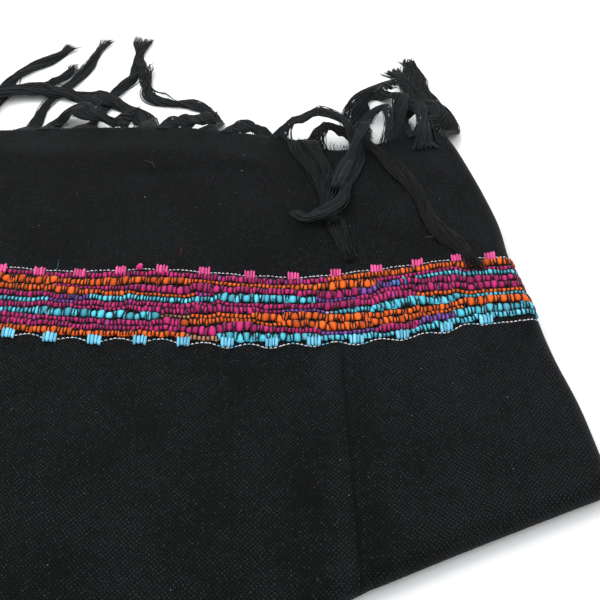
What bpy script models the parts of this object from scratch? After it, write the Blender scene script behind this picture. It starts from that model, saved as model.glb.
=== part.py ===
"""A woven rebozo shawl, folded flat into a pack, with a slub-weave band and a knotted fringe.

Units are metres, +Z is up. The origin is the centre of the flat underside, and the fringed
edge of the top layer faces +Y. The cloth's top layer rolls round a fold on the right (+X) and
a slanting fold at the front (-Y); the layers hidden inside share one rounded solid.
"""
import math

import bmesh
import bpy
import numpy as np
from mathutils import Vector

# Driving sizes
STACK_HEIGHT = 0.0105
CLOTH = 0.0012
GAP = 0.0003
EDGE_DROOP = 0.0012
DROOP_REACH = 0.006

# Fold lines and edges, where the flat top ends. Columns: y, x
RIGHT_FOLD = (
    (-0.040, 0.1460),
    (-0.016, 0.1425),
    (0.008, 0.1385),
    (0.028, 0.1335),
    (0.061, 0.1275),
    (0.085, 0.1225),
    (0.107, 0.1205),
    (0.126, 0.1165),
    (0.145, 0.1115),
    (0.175, 0.1030),
)
LEFT_EDGE = ((-0.160, -0.136), (0.000, -0.142), (0.175, -0.150))
CREASE = ((-0.080, 0.0620), (0.037, 0.0570), (0.175, 0.0510))

# Rows across the cloth. Columns: x, y
FRONT_FOLD = (
    (-0.150, -0.1560),
    (-0.060, -0.1200),
    (0.020, -0.0845),
    (0.068, -0.0612),
    (0.110, -0.0422),
    (0.150, -0.0250),
)
BACK_EDGE = (
    (-0.160, 0.1700),
    (0.020, 0.1690),
    (0.038, 0.1650),
    (0.055, 0.1575),
    (0.072, 0.1610),
    (0.095, 0.1680),
    (0.115, 0.1665),
)
BAND_TOP = (
    (-0.160, 0.0800),
    (-0.083, 0.0786),
    (-0.060, 0.0760),
    (-0.016, 0.0768),
    (0.019, 0.0733),
    (0.037, 0.0721),
    (0.071, 0.0768),
    (0.105, 0.0828),
    (0.128, 0.0850),
)
BAND_BOTTOM = (
    (-0.160, 0.0440),
    (-0.073, 0.0424),
    (-0.039, 0.0385),
    (0.012, 0.0355),
    (0.045, 0.0362),
    (0.080, 0.0392),
    (0.113, 0.0478),
    (0.140, 0.0520),
)

# Grid of the top layer
CREASE_SHARE = 0.69
CREASE_HALF_SHARE = 0.012
COLUMNS_LEFT = 13
COLUMNS_RIGHT = 6
ROWS_UPPER = 8
ROWS_LOWER = 12
ROLL_STEPS = 6
ROLL_END = math.radians(162.0)
FOLLOW_FROM = 0.70
CROSSING_LOOPS = 12

# Soft folds that stand on the flat top. Columns: x, y, turn, half length, half width, height
SOFT_FOLDS = (
    (-0.060, 0.154, 0.02, 0.075, 0.008, 0.0010),
    (0.020, 0.146, -0.25, 0.022, 0.007, 0.0008),
    (0.078, 0.112, -1.02, 0.026, 0.007, 0.0010),
    (0.099, 0.146, -1.25, 0.014, 0.006, 0.0010),
    (0.092, 0.010, -1.10, 0.040, 0.012, 0.0007),
    (-0.060, -0.030, 0.10, 0.060, 0.014, 0.0006),
    (0.010, -0.050, 1.20, 0.035, 0.012, 0.0005),
)
# The pressed crease below the band, with a raised lip on its left
CREASE_DEPTH = 0.0007
CREASE_WIDTH = 0.0040
CREASE_FADE = 0.012
LIP_HEIGHT = 0.0004
LIP_PLACE = 0.008
LIP_WIDTH = 0.006

# Slub band. A row swells along its length in two waves, each with its share of the swell
RIBS = 10
RIB_HEIGHT = 0.0012
RIB_LEAST = 0.55
SWELL_LENGTH = 0.043
SWELL_SHARE = 0.3
SLOW_SWELL_LENGTH = 0.112
SLOW_SWELL_SHARE = 0.2
SWELL_SHIFT = 2.4
SWELL_WANDER = 1.7

# Hidden layers
LOBES = 4
LOBE_DEPTH = 0.0016
LOBE_TOP = 0.0071
LAYER_CAP = 0.0085
CAP_INSET = 0.008
FOLD_CAP_INSET = 0.006
LAYER_CLEAR = 0.0004
FOOT_INSET = 0.0004
BACK_CORNER_Y = 0.1680
BACK_START_X = -0.1400
BACK_END_INSET = 0.0065
BACK_STATIONS = 20
LEFT_START_RISE = 0.022
LEFT_END_Y = 0.1560
LEFT_STATIONS = 13
BACK_RIGHT_EASE = 0.2
FRONT_LEFT_EASE = 0.7
BAND_ROWS_A_STATION = 5
# How far the hidden layers reach past the top layer's back edge. Columns: x, reach
LAYER_REACH = (
    (-0.160, 0.0010),
    (-0.060, 0.0005),
    (-0.030, 0.0050),
    (0.005, 0.0045),
    (0.030, 0.0000),
    (0.055, -0.0020),
    (0.110, -0.0010),
)

# Fringe
HEAD_WIDTH = 0.0034
HEAD_DEPTH = 0.0024
HEAD_HEIGHT = 0.0015
HEAD_CLEAR_WIDTH = 0.0037
STRANDS = 4
STRAND_RADIUS = 0.00060
ROOT_RADIUS = 0.00036
ROOT_LENGTH = 0.0004
ROOT_INSET = 0.00012
TOP_EXIT_RISE = 0.0024
STRAND_PITCH = 0.00135
SEGMENT = 0.0072
LIE_SLOPE = 0.75
EDGE_MARGIN = 0.0014
FLOOR_CLEAR = 0.0003
CROSS_CLEAR = 0.0004
LAY_STEP = 0.0015
TIP_SHARE = 0.55
STRAND_SHORTER = (0.06, 0.0, 0.03, 0.10)
LEVEL_ENOUGH = 0.05
SIDEWAYS_ENOUGH = 0.5

# One row for each tassel, in the order in which they lie on one another.
# Columns: name, x of the root, side exit or top exit, heading in degrees, bends in degrees
# over equal shares of the length, length, spread
TASSELS = (
    ("tassel_01", -0.1440, "side", 98, (14, -30, 18, 24), 0.088, 1.0),
    ("tassel_02", -0.1180, "side", 70, (5, 4, -46, 32), 0.094, 1.0),
    ("tassel_03", -0.0895, "side", 76, (5, -29, 27, -12), 0.092, 1.1),
    ("tassel_04", -0.0620, "side", 78, (-3, -18, 36, -9), 0.090, 1.0),
    ("tassel_05", -0.0033, "side", 56, (62, 69, -86, -6), 0.085, 1.0),
    ("tassel_06", -0.1285, "side", 72, (-9, -29, -17, 82), 0.089, 1.0),
    ("tassel_07", -0.0303, "side", 93, (51, 24, 10, 66), 0.105, 1.0),
    ("tassel_08", -0.0777, "side", 117, (-73, -97, 57, -18), 0.055, 1.0),
    ("tassel_09", -0.0240, "side", 50, (-38, -16, 4, -1), 0.026, 1.0),
    ("tassel_10", 0.0060, "side", 40, (-31, -22, -4, 4), 0.027, 1.0),
    ("tassel_16", 0.1030, "side", 35, (46, 38, -5, -17, 6), 0.078, 1.5),
    ("tassel_17", 0.0985, "side", 33, (57, 22, 4, -8, 13), 0.069, 1.3),
    ("tassel_18", 0.0938, "side", 12, (20, 60, 60, 30, 20), 0.036, 1.1),
    ("tassel_20", 0.0893, "side", 104, (8, -98, -100, -4, 0, 8), 0.052, 1.5),
    ("tassel_14", 0.0850, "side", 80, (6, 4, 53, 131, -15, 36), 0.090, 1.0),
    ("tassel_19", 0.0700, "side", 100, (-1, 7, -42, -69, -64), 0.051, 1.2),
    ("tassel_11", 0.0370, "top", -84, (20, -10, -4, 2, 4), 0.090, 1.5),
    ("tassel_21", 0.0433, "top", -80, (12, -3, -27, 8, 26), 0.064, 1.3),
    ("tassel_13", 0.0474, "side", 84, (-134, -6, -6, -19, 32, -36), 0.129, 1.4),
    ("tassel_12", 0.0315, "side", 62, (-68, -45, -33, -28, 14, -46, -110), 0.116, 1.1),
    ("tassel_15", 0.0808, "side", 64, (64, 137, -8, -13, 8, 1, -4), 0.078, 1.3),
)

# Colours as seen: linear RGB, roughness
CHARCOAL = ((0.012, 0.013, 0.014, 1.0), 0.85)
SLUB_MAGENTA = ((0.55, 0.03, 0.20, 1.0), 0.80)
YARN_BLACK = ((0.009, 0.010, 0.011, 1.0), 0.75)


def curve_through(rows, at):
    """Read a smooth curve through a two-column table."""
    xs, ys = np.array(rows).T
    slopes = np.gradient(ys, xs)
    at = np.clip(at, xs[0], xs[-1])
    i = np.clip(np.searchsorted(xs, at) - 1, 0, len(xs) - 2)
    width = xs[i + 1] - xs[i]
    t = (at - xs[i]) / width
    start = (2 * t**3 - 3 * t**2 + 1) * ys[i] + (t**3 - 2 * t**2 + t) * width * slopes[i]
    end = (3 * t**2 - 2 * t**3) * ys[i + 1] + (t**3 - t**2) * width * slopes[i + 1]
    return float(start + end)


def slope_of(rows, at, step=0.002):
    """Slope of a table's curve."""
    return (curve_through(rows, at + step) - curve_through(rows, at - step)) / (2 * step)


def crossing(row_table, column_table):
    """X where a row of the cloth meets an edge, a crease or a fold."""
    x = 0.0
    for _ in range(CROSSING_LOOPS):
        x = curve_through(column_table, curve_through(row_table, x))
    return x


def top_height(x, y):
    """Height of the top layer's outer side on the flat part of the pack."""
    height = STACK_HEIGHT
    behind = curve_through(BACK_EDGE, x) - y
    height -= EDGE_DROOP * math.exp(-max(behind, 0.0) / DROOP_REACH)
    for fold_x, fold_y, turn, half_length, half_width, rise in SOFT_FOLDS:
        along = (x - fold_x) * math.cos(turn) + (y - fold_y) * math.sin(turn)
        across = (y - fold_y) * math.cos(turn) - (x - fold_x) * math.sin(turn)
        height += rise * math.exp(-(along / half_length) ** 4 - (across / half_width) ** 2)
    aside = x - curve_through(CREASE, y)
    below_band = curve_through(BAND_BOTTOM, x) - y
    strength = min(max(below_band / CREASE_FADE, 0.0), 1.0)
    height -= strength * CREASE_DEPTH * math.exp(-(aside / CREASE_WIDTH) ** 2)
    return height + strength * LIP_HEIGHT * math.exp(-((aside + LIP_PLACE) / LIP_WIDTH) ** 2)


def column_shares():
    """Shares of the way from the left edge to the right fold, closer beside the crease."""
    left = np.linspace(0.0, CREASE_SHARE - CREASE_HALF_SHARE, COLUMNS_LEFT)
    right = np.linspace(CREASE_SHARE + CREASE_HALF_SHARE, 1.0, COLUMNS_RIGHT)
    return np.concatenate((left, (CREASE_SHARE,), right))


def guide_row(table):
    """Points of one row that runs from the left edge over the crease to the right fold."""
    stops = [crossing(table, column) for column in (LEFT_EDGE, CREASE, RIGHT_FOLD)]
    xs = np.interp(column_shares(), (0.0, CREASE_SHARE, 1.0), stops)
    return np.array([(x, curve_through(table, x)) for x in xs])


def rows_between(first, last, count):
    """Rows from one guide row to the next, whose right ends follow the right fold."""
    follow = np.clip((column_shares() - FOLLOW_FROM) / (1.0 - FOLLOW_FROM), 0.0, 1.0)
    rows = []
    for share in np.linspace(0.0, 1.0, count + 1):
        row = first * (1.0 - share) + last * share
        row[:, 0] += follow * (curve_through(RIGHT_FOLD, row[-1, 1]) - row[-1, 0])
        rows.append(row)
    return rows


def trimmed(rows, at_start, at_end):
    """Draw a stretch's first and last row in by half of the seam's gap."""
    rows = [row.copy() for row in rows]
    if at_start:
        rows[0][:, 1] -= GAP / 2
    if at_end:
        rows[-1][:, 1] += GAP / 2
    return rows


def unit(x, y):
    length = math.hypot(x, y)
    return np.array((x / length, y / length))


def right_outward(y):
    """Direction out of the pack, square to the right fold."""
    return unit(1.0, -slope_of(RIGHT_FOLD, y))


def front_outward(x):
    """Direction out of the pack, square to the front fold."""
    return unit(slope_of(FRONT_FOLD, x), -1.0)


def rolled(point, outward, angle, lift=0.0):
    """Point on the cloth after it turned by an angle round a fold."""
    half = top_height(*point) / 2
    reach = (half + lift) * math.sin(angle)
    level = half + (half + lift) * math.cos(angle)
    return (point[0] + outward[0] * reach, point[1] + outward[1] * reach, level)


def roll_angle(step):
    return ROLL_END * step / ROLL_STEPS


def surface_row(row, lift=0.0, lift_share=None):
    """One row in space: flat up to the right fold, then round it.

    lift moves the points out along the cloth's own normal, by a share for each column.
    """
    shares = lift_share if lift_share is not None else [1.0] * (len(row) + ROLL_STEPS)
    points = [(x, y, top_height(x, y) + lift * shares[i]) for i, (x, y) in enumerate(row)]
    outward = right_outward(row[-1][1])
    for step in range(1, ROLL_STEPS + 1):
        share = shares[len(row) + step - 1]
        points.append(rolled(row[-1], outward, roll_angle(step), lift * share))
    return points


def front_roll_row(row, step):
    """One row of the roll round the front fold, with its share of the rounded corner."""
    points = [rolled(point, front_outward(point[0]), roll_angle(step)) for point in row]
    corner = row[-1]
    from_right = math.atan2(*right_outward(corner[1])[::-1])
    from_front = math.atan2(*front_outward(corner[0])[::-1])
    for side_step in range(1, ROLL_STEPS + 1):
        if side_step >= step:
            share = 0.5 * step / side_step
        else:
            share = 1.0 - 0.5 * side_step / step
        turn = from_right + (from_front - from_right) * share
        outward = (math.cos(turn), math.sin(turn))
        points.append(rolled(corner, outward, roll_angle(max(step, side_step))))
    return points


def principled(name, look):
    """Material with a colour and a roughness."""
    colour, roughness = look
    material = bpy.data.materials.new(name)
    material.use_nodes = True
    shader = material.node_tree.nodes["Principled BSDF"]
    shader.inputs["Base Color"].default_value = colour
    shader.inputs["Roughness"].default_value = roughness
    shader.inputs["Metallic"].default_value = 0.0
    return material


def add_object(name, mesh_builder, material, collection):
    """Turn a finished mesh builder into a named object."""
    mesh = bpy.data.meshes.new(name)
    mesh_builder.to_mesh(mesh)
    mesh_builder.free()
    mesh.materials.append(material)
    piece = bpy.data.objects.new(name, mesh)
    collection.objects.link(piece)
    return piece


def cloth_wall(name, rows, material, collection):
    """A stretch of cloth: an open sheet through the rows, thickened inwards."""
    sheet = bmesh.new()
    grid = [[sheet.verts.new(point) for point in row] for row in rows]
    for upper, lower in zip(grid, grid[1:]):
        for i in range(len(upper) - 1):
            sheet.faces.new((upper[i], lower[i], lower[i + 1], upper[i + 1]))
    wall = add_object(name, sheet, material, collection)
    wall.data.shade_smooth()
    thicken = wall.modifiers.new("Wall", "SOLIDIFY")
    thicken.thickness = CLOTH
    thicken.offset = -1.0
    thicken.use_even_offset = False
    return wall


def rib_swell(rib, x):
    """How full a slub row is at a place along the band."""
    phase = SWELL_SHIFT * rib + math.sin(SWELL_WANDER * rib)
    wave = SWELL_SHARE * math.sin(2 * math.pi * x / SWELL_LENGTH + phase)
    slow = SLOW_SWELL_SHARE * math.sin(2 * math.pi * x / SLOW_SWELL_LENGTH - phase)
    return RIB_LEAST + (1.0 - RIB_LEAST) * (0.5 + wave + slow)


def band_wall(rows, material, collection):
    """The slub band: ribs raised in the wall's outer points over a plain inside."""
    sides = ([], [])
    for number, row in enumerate(rows):
        on_rib = number % 2 == 1
        shares = []
        for x, _ in row:
            shares.append(rib_swell(number // 2, x) if on_rib else 0.0)
        for step in range(1, ROLL_STEPS + 1):
            fade = max(math.cos(roll_angle(step) / 2), 0.0)
            shares.append(shares[len(row) - 1] * fade)
        sides[0].append(surface_row(row, RIB_HEIGHT, shares))
    for row in (rows[0], rows[len(rows) // 2], rows[-1]):
        sides[1].append(surface_row(row, -CLOTH))
    sections = []
    for column in range(len(sides[0][0])):
        outer = [row[column] for row in sides[0]]
        inner = [row[column] for row in reversed(sides[1])]
        sections.append(outer + inner)
    return loft("slub_band", sections, material, collection)


def loft(name, sections, material, collection):
    """A closed solid through like rings of points, with a flat face at each end."""
    solid = bmesh.new()
    rings = [[solid.verts.new(point) for point in section] for section in sections]
    count = len(rings[0])
    for near, far in zip(rings, rings[1:]):
        for i in range(count):
            after = (i + 1) % count
            solid.faces.new((near[i], near[after], far[after], far[i]))
    solid.faces.new(rings[0][::-1])
    solid.faces.new(rings[-1])
    bmesh.ops.recalc_face_normals(solid, faces=solid.faces)
    return add_object(name, solid, material, collection)


def lobe_profile(beyond=0.0):
    """Side of the hidden layers at an open edge. Columns: reach, height"""
    profile = [(-LOBE_DEPTH, 0.0)]
    for lobe in range(LOBES):
        low = LOBE_TOP * lobe / LOBES
        high = LOBE_TOP * (lobe + 1) / LOBES
        profile.append((0.0, (low + high) / 2))
        profile.append((-LOBE_DEPTH, high))
    profile.append((-CAP_INSET - max(beyond, 0.0), LAYER_CAP))
    return profile


def fold_profile(height):
    """Side of the hidden layers inside a fold. Columns: reach, height"""
    half = height / 2
    radius = half - CLOTH - LAYER_CLEAR
    arcs = 2 * LOBES - 1
    profile = [(FOOT_INSET, 0.0)]
    for step in range(arcs + 1):
        angle = ROLL_END * (1.0 - step / arcs)
        profile.append((radius * math.sin(angle), half + radius * math.cos(angle)))
    profile.append((-FOLD_CAP_INSET, LAYER_CAP))
    return profile


def layer_outline(right_rows, front_row):
    """Stations round the hidden layers: point, outward direction, profile."""
    stations = []
    left, right = front_row[0], right_rows[0][-1]
    for x in np.linspace(BACK_START_X, right[0] - BACK_END_INSET, BACK_STATIONS):
        reach = curve_through(LAYER_REACH, x)
        y = curve_through(BACK_EDGE, x) - GAP + reach
        stations.append(((x, y), np.array((0.0, 1.0)), lobe_profile(reach)))
    for number, row in enumerate(right_rows):
        point = row[-1].copy()
        if number == 0:
            point += (right_rows[1][-1] - point) * BACK_RIGHT_EASE
        height = top_height(*point)
        stations.append((point, right_outward(point[1]), fold_profile(height)))
    corner = front_row[-1]
    middle = right_outward(corner[1]) + front_outward(corner[0])
    stations.append((corner - middle * GAP, unit(*middle), fold_profile(top_height(*corner))))
    for number, point in enumerate(front_row[-2::-1]):
        if number == len(front_row) - 2:
            point = point + (front_row[1] - point) * FRONT_LEFT_EASE
        outward = front_outward(point[0])
        stations.append((point, outward, fold_profile(top_height(*point))))
    for y in np.linspace(left[1] + LEFT_START_RISE, LEFT_END_Y, LEFT_STATIONS):
        x = curve_through(LEFT_EDGE, y) + GAP
        stations.append(((x, y), np.array((-1.0, 0.0)), lobe_profile()))
    corner_x = curve_through(LEFT_EDGE, BACK_CORNER_Y) + GAP
    stations.append(((corner_x, BACK_CORNER_Y), unit(-1.0, 1.0), lobe_profile()))
    return stations


def hidden_layers(right_rows, front_row, material, collection):
    """The layers inside the folds, as one rounded solid with a flat underside."""
    stations = layer_outline(right_rows, front_row)
    levels = []
    for level in range(2 * LOBES + 2):
        ring = []
        for point, outward, profile in stations:
            reach, height = profile[level]
            ring.append((point[0] + outward[0] * reach, point[1] + outward[1] * reach, height))
        levels.append(ring)
    return loft("folded_layers", levels, material, collection)


def walk(x, y, heading, bends, length):
    """Plan of a tassel: points at equal steps, turned smoothly by each bend in its share."""
    steps = max(int(round(length / LAY_STEP)), 4)
    points = [(x, y)]
    for step in range(steps):
        share = (step + 0.5) / steps * len(bends)
        turned = sum(bend * min(max(share - i, 0.0), 1.0) for i, bend in enumerate(bends))
        angle = math.radians(heading + turned)
        x += math.cos(angle) * length / steps
        y += math.sin(angle) * length / steps
        points.append((x, y))
    return points


def ground(x, y):
    """Highest level of what a tassel can lie on at a place: floor, layers, cloth or band."""
    edge = curve_through(BACK_EDGE, x) + EDGE_MARGIN
    if x > curve_through(RIGHT_FOLD, y) + STACK_HEIGHT / 2 + STRAND_PITCH:
        return 0.0
    if y > edge:
        reach = max(curve_through(LAYER_REACH, x), 0.0)
        return LOBE_TOP if y < edge + reach + STRAND_PITCH else 0.0
    level = top_height(x, y)
    if curve_through(BAND_BOTTOM, x) < y < curve_through(BAND_TOP, x) + STRAND_PITCH:
        level += RIB_HEIGHT
    return level


def lie(plan, half_width, laid, start_level):
    """Heights at which a tassel lies on the ground and on the tassels laid before it."""
    needed = []
    for number, (x, y) in enumerate(plan):
        after = plan[min(number + 1, len(plan) - 1)]
        before = plan[max(number - 1, 0)]
        side = unit(before[1] - after[1], after[0] - before[0]) * half_width
        spots = [(x + side[0] * k, y + side[1] * k) for k in (-1, -0.5, 0, 0.5, 1)]
        level = max(ground(*spot) for spot in spots) + STRAND_RADIUS + FLOOR_CLEAR
        for other_x, other_y, other_level, other_half in laid:
            if math.hypot(x - other_x, y - other_y) < half_width + other_half + LAY_STEP:
                level = max(level, other_level + 2 * STRAND_RADIUS + CROSS_CLEAR)
        needed.append(level)
    needed[0] = max(needed[0], start_level) if start_level > STACK_HEIGHT else start_level
    levels = []
    for i in range(len(plan)):
        reach = [level - LIE_SLOPE * LAY_STEP * abs(i - j) for j, level in enumerate(needed)]
        levels.append(max(reach))
    return levels


def stations_of(plan, levels, length):
    """Thin a dense route out to the tassel's own segments, kept above what it lies on."""
    count = max(int(round(length / SEGMENT)), 3)
    places = np.linspace(0, len(plan) - 1, count + 1)
    window = (len(plan) - 1) / count
    points = []
    for place in places:
        low = max(int(math.floor(place - window)), 0)
        high = min(int(math.ceil(place + window)), len(plan) - 1)
        level = max(levels[low:high + 1]) if place > 0 else levels[0]
        x = np.interp(place, range(len(plan)), [point[0] for point in plan])
        y = np.interp(place, range(len(plan)), [point[1] for point in plan])
        points.append(Vector((x, y, level)))
    return points


def tassel_head(x, y, level, upwards):
    """A small knot at the cloth's edge, and its four faces that the strands leave from."""
    knot = bmesh.new()
    bmesh.ops.create_cube(knot, size=1.0)
    bmesh.ops.scale(knot, vec=(HEAD_WIDTH, HEAD_DEPTH, HEAD_HEIGHT), verts=knot.verts)
    bmesh.ops.translate(knot, vec=(x, y, level), verts=knot.verts)
    exit_way = Vector((0, 0, 1)) if upwards else Vector((0, 1, 0))
    exit_face = max(knot.faces, key=lambda face: face.normal.dot(exit_way))
    leaves = bmesh.ops.poke(knot, faces=[exit_face])["faces"]
    bmesh.ops.inset_individual(knot, faces=leaves, thickness=ROOT_INSET)
    return knot, leaves


def strand(knot, face, points, side_place, spread, stop_share):
    """Extrude one strand from the knot's face along the tassel's route."""
    centre = face.calc_center_median()
    count = max(int(round((len(points) - 1) * stop_share)), 2)
    outward = face.normal.copy()
    face = bmesh.ops.extrude_discrete_faces(knot, faces=[face])["faces"][0]
    for vertex in face.verts:
        spoke = (vertex.co - centre).normalized()
        vertex.co = centre + outward * ROOT_LENGTH + spoke * ROOT_RADIUS
    centre += outward * ROOT_LENGTH
    corners = []
    plan_way = points[-1] - points[1]
    for number in range(1, count + 1):
        before = points[number - 1]
        after = points[min(number + 1, len(points) - 1)]
        way = (after - before).normalized()
        flat = Vector((way.x, way.y, 0))
        if flat.length < LEVEL_ENOUGH:
            flat = Vector((plan_way.x, plan_way.y, 0))
        flat.normalize()
        across = Vector((-flat.y, flat.x, 0))
        upward = way.cross(across)
        if number == 1:
            for vertex in face.verts:
                offset = vertex.co - centre
                corners.append(math.atan2(offset.dot(upward), offset.dot(across)))
        along = number / count
        radius = STRAND_RADIUS * (TIP_SHARE if number == count else 1.0)
        pitch = STRAND_PITCH * (1.0 + (spread - 1.0) * min(2 * along, 1.0) ** 2)
        place = points[number] + across * (side_place * pitch)
        face = bmesh.ops.extrude_discrete_faces(knot, faces=[face])["faces"][0]
        for vertex, turn in zip(face.verts, corners):
            vertex.co = place + (across * math.cos(turn) + upward * math.sin(turn)) * radius
    return knot


def tassel(row, laid, material, collection):
    """One tassel: a knot with its strands, lying where the row of the table sends it."""
    name, x, exit_side, heading, bends, length, spread = row
    upwards = exit_side == "top"
    aside = (-HEAD_CLEAR_WIDTH / 2, 0.0, HEAD_CLEAR_WIDTH / 2)
    edge = max(curve_through(BACK_EDGE, x + step) for step in aside)
    head_y = edge + GAP + HEAD_DEPTH / 2
    head_level = top_height(x, curve_through(BACK_EDGE, x)) - HEAD_HEIGHT / 2
    knot, leaves = tassel_head(x, head_y, head_level, upwards)
    start_y = head_y if upwards else head_y + HEAD_DEPTH / 2
    start_level = STACK_HEIGHT + TOP_EXIT_RISE if upwards else head_level
    plan = walk(x, start_y, heading, bends, length)
    half_width = STRAND_PITCH * spread * (STRANDS - 1) / 2 + STRAND_RADIUS
    levels = lie(plan, half_width, laid, start_level)
    points = stations_of(plan, levels, length)
    if upwards:
        points.insert(0, Vector((x, start_y, head_level + HEAD_HEIGHT / 2)))
    across = Vector((-math.sin(math.radians(heading)), math.cos(math.radians(heading)), 0))
    if abs(across.x) < SIDEWAYS_ENOUGH:
        across = Vector((-1, 0, 0))
    leaves.sort(key=lambda leaf: leaf.calc_center_median().dot(across))
    for number, leaf in enumerate(leaves):
        side_place = number - (STRANDS - 1) / 2
        strand(knot, leaf, points, side_place, spread, 1.0 - STRAND_SHORTER[number])
    dense = np.linspace(0, len(points) - 1, len(plan) * 2)
    for place in dense:
        near = int(min(math.floor(place), len(points) - 2))
        spot = points[near].lerp(points[near + 1], place - near)
        laid.append((spot.x, spot.y, spot.z, half_width))
    return add_object(name, knot, material, collection)


def main():
    for old in list(bpy.data.objects):
        bpy.data.objects.remove(old, do_unlink=True)
    shawl = bpy.data.collections.new("rebozo_shawl")
    bpy.context.scene.collection.children.link(shawl)
    charcoal = principled("charcoal_weave", CHARCOAL)
    slub = principled("slub_weave", SLUB_MAGENTA)
    yarn = principled("fringe_yarn", YARN_BLACK)

    back = guide_row(BACK_EDGE)
    band_top = guide_row(BAND_TOP)
    band_bottom = guide_row(BAND_BOTTOM)
    front = guide_row(FRONT_FOLD)
    upper = rows_between(back, band_top, ROWS_UPPER)
    band = rows_between(band_top, band_bottom, 2 * RIBS)
    lower = rows_between(band_bottom, front, ROWS_LOWER)

    upper_rows = [surface_row(row) for row in trimmed(upper, False, True)]
    cloth_wall("fringe_end_stretch", upper_rows, charcoal, shawl)
    band_wall(trimmed(band, True, True), slub, shawl)
    lower_rows = [surface_row(row) for row in trimmed(lower, True, False)]
    lower_rows += [front_roll_row(lower[-1], step) for step in range(1, ROLL_STEPS + 1)]
    cloth_wall("body_stretch", lower_rows, charcoal, shawl)
    right_rows = upper[:-1] + band[::BAND_ROWS_A_STATION] + lower[1:-1]
    hidden_layers(right_rows, lower[-1], charcoal, shawl)

    laid = []
    for row in TASSELS:
        tassel(row, laid, yarn, shawl)


main()
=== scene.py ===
"""Looks of a folded rebozo shawl: open plain weave, a slub-weave band and a loose fringe.

Units are metres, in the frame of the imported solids: +Z is up, the fringed edge faces +Y.
"""

import math

import bpy
import numpy as np
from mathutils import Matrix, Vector


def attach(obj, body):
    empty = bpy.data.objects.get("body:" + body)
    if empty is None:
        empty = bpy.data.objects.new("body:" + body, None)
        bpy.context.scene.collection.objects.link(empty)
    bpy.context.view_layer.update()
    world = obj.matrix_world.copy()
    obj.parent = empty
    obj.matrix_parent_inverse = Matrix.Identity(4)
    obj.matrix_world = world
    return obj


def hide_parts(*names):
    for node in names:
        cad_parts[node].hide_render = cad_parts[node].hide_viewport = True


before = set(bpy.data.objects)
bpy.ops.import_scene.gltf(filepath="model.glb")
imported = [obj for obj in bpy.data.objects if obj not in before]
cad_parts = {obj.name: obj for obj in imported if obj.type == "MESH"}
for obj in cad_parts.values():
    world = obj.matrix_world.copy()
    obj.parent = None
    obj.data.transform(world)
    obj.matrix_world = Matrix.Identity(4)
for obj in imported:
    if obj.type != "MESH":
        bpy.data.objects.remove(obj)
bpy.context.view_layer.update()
rng = np.random.default_rng(7)

# The folded pack, as its solids have it
STACK_HEIGHT = 0.0105
CLOTH = 0.0012
EDGE_DROOP = 0.0012
DROOP_REACH = 0.006
ROLL_END = math.radians(162.0)
CREASE_SHARE = 0.69
FOLLOW_FROM = 0.70
CROSSING_LOOPS = 12

# Fold lines and edges, where the flat top ends. Columns: y, x
RIGHT_FOLD = (
    (-0.040, 0.1460),
    (-0.016, 0.1425),
    (0.008, 0.1385),
    (0.028, 0.1335),
    (0.061, 0.1275),
    (0.085, 0.1225),
    (0.107, 0.1205),
    (0.126, 0.1165),
    (0.145, 0.1115),
    (0.175, 0.1030),
)
LEFT_EDGE = ((-0.160, -0.136), (0.000, -0.142), (0.175, -0.150))
CREASE = ((-0.080, 0.0620), (0.037, 0.0570), (0.175, 0.0510))

# Rows across the cloth. Columns: x, y
FRONT_FOLD = (
    (-0.150, -0.1560),
    (-0.060, -0.1200),
    (0.020, -0.0845),
    (0.068, -0.0612),
    (0.110, -0.0422),
    (0.150, -0.0250),
)
BACK_EDGE = (
    (-0.160, 0.1700),
    (0.020, 0.1690),
    (0.038, 0.1650),
    (0.055, 0.1575),
    (0.072, 0.1610),
    (0.095, 0.1680),
    (0.115, 0.1665),
)
BAND_TOP = (
    (-0.160, 0.0800),
    (-0.083, 0.0786),
    (-0.060, 0.0760),
    (-0.016, 0.0768),
    (0.019, 0.0733),
    (0.037, 0.0721),
    (0.071, 0.0768),
    (0.105, 0.0828),
    (0.128, 0.0850),
)
BAND_BOTTOM = (
    (-0.160, 0.0440),
    (-0.073, 0.0424),
    (-0.039, 0.0385),
    (0.012, 0.0355),
    (0.045, 0.0362),
    (0.080, 0.0392),
    (0.113, 0.0478),
    (0.140, 0.0520),
)

# Soft folds that stand on the flat top. Columns: x, y, turn, half length, half width, height
SOFT_FOLDS = (
    (-0.060, 0.154, 0.02, 0.075, 0.008, 0.0010),
    (0.020, 0.146, -0.25, 0.022, 0.007, 0.0008),
    (0.078, 0.112, -1.02, 0.026, 0.007, 0.0010),
    (0.099, 0.146, -1.25, 0.014, 0.006, 0.0010),
    (0.092, 0.010, -1.10, 0.040, 0.012, 0.0007),
    (-0.060, -0.030, 0.10, 0.060, 0.014, 0.0006),
    (0.010, -0.050, 1.20, 0.035, 0.012, 0.0005),
)
# Finer creases of the shell alone, with the same columns
FINE_CREASES = (
    (0.060, 0.118, -0.95, 0.020, 0.0035, 0.0004),
    (0.071, 0.102, -0.80, 0.016, 0.0030, -0.0004),
    (0.090, 0.130, -1.15, 0.022, 0.0040, -0.0004),
    (-0.020, 0.140, 0.08, 0.050, 0.0040, -0.0004),
    (-0.105, 0.128, 0.30, 0.030, 0.0050, 0.0004),
    (0.104, 0.052, -1.30, 0.030, 0.0060, 0.0003),
    (0.117, -0.006, -1.25, 0.030, 0.0050, 0.0004),
    (0.085, -0.030, -0.35, 0.035, 0.0060, 0.0004),
    (-0.020, -0.010, 0.15, 0.045, 0.0080, 0.0003),
    (-0.105, -0.070, -0.45, 0.040, 0.0080, 0.0004),
    (0.025, 0.015, 1.45, 0.030, 0.0060, -0.0003),
)
CREASE_DEPTH = 0.0007
CREASE_WIDTH = 0.0040
CREASE_FADE = 0.012
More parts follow.
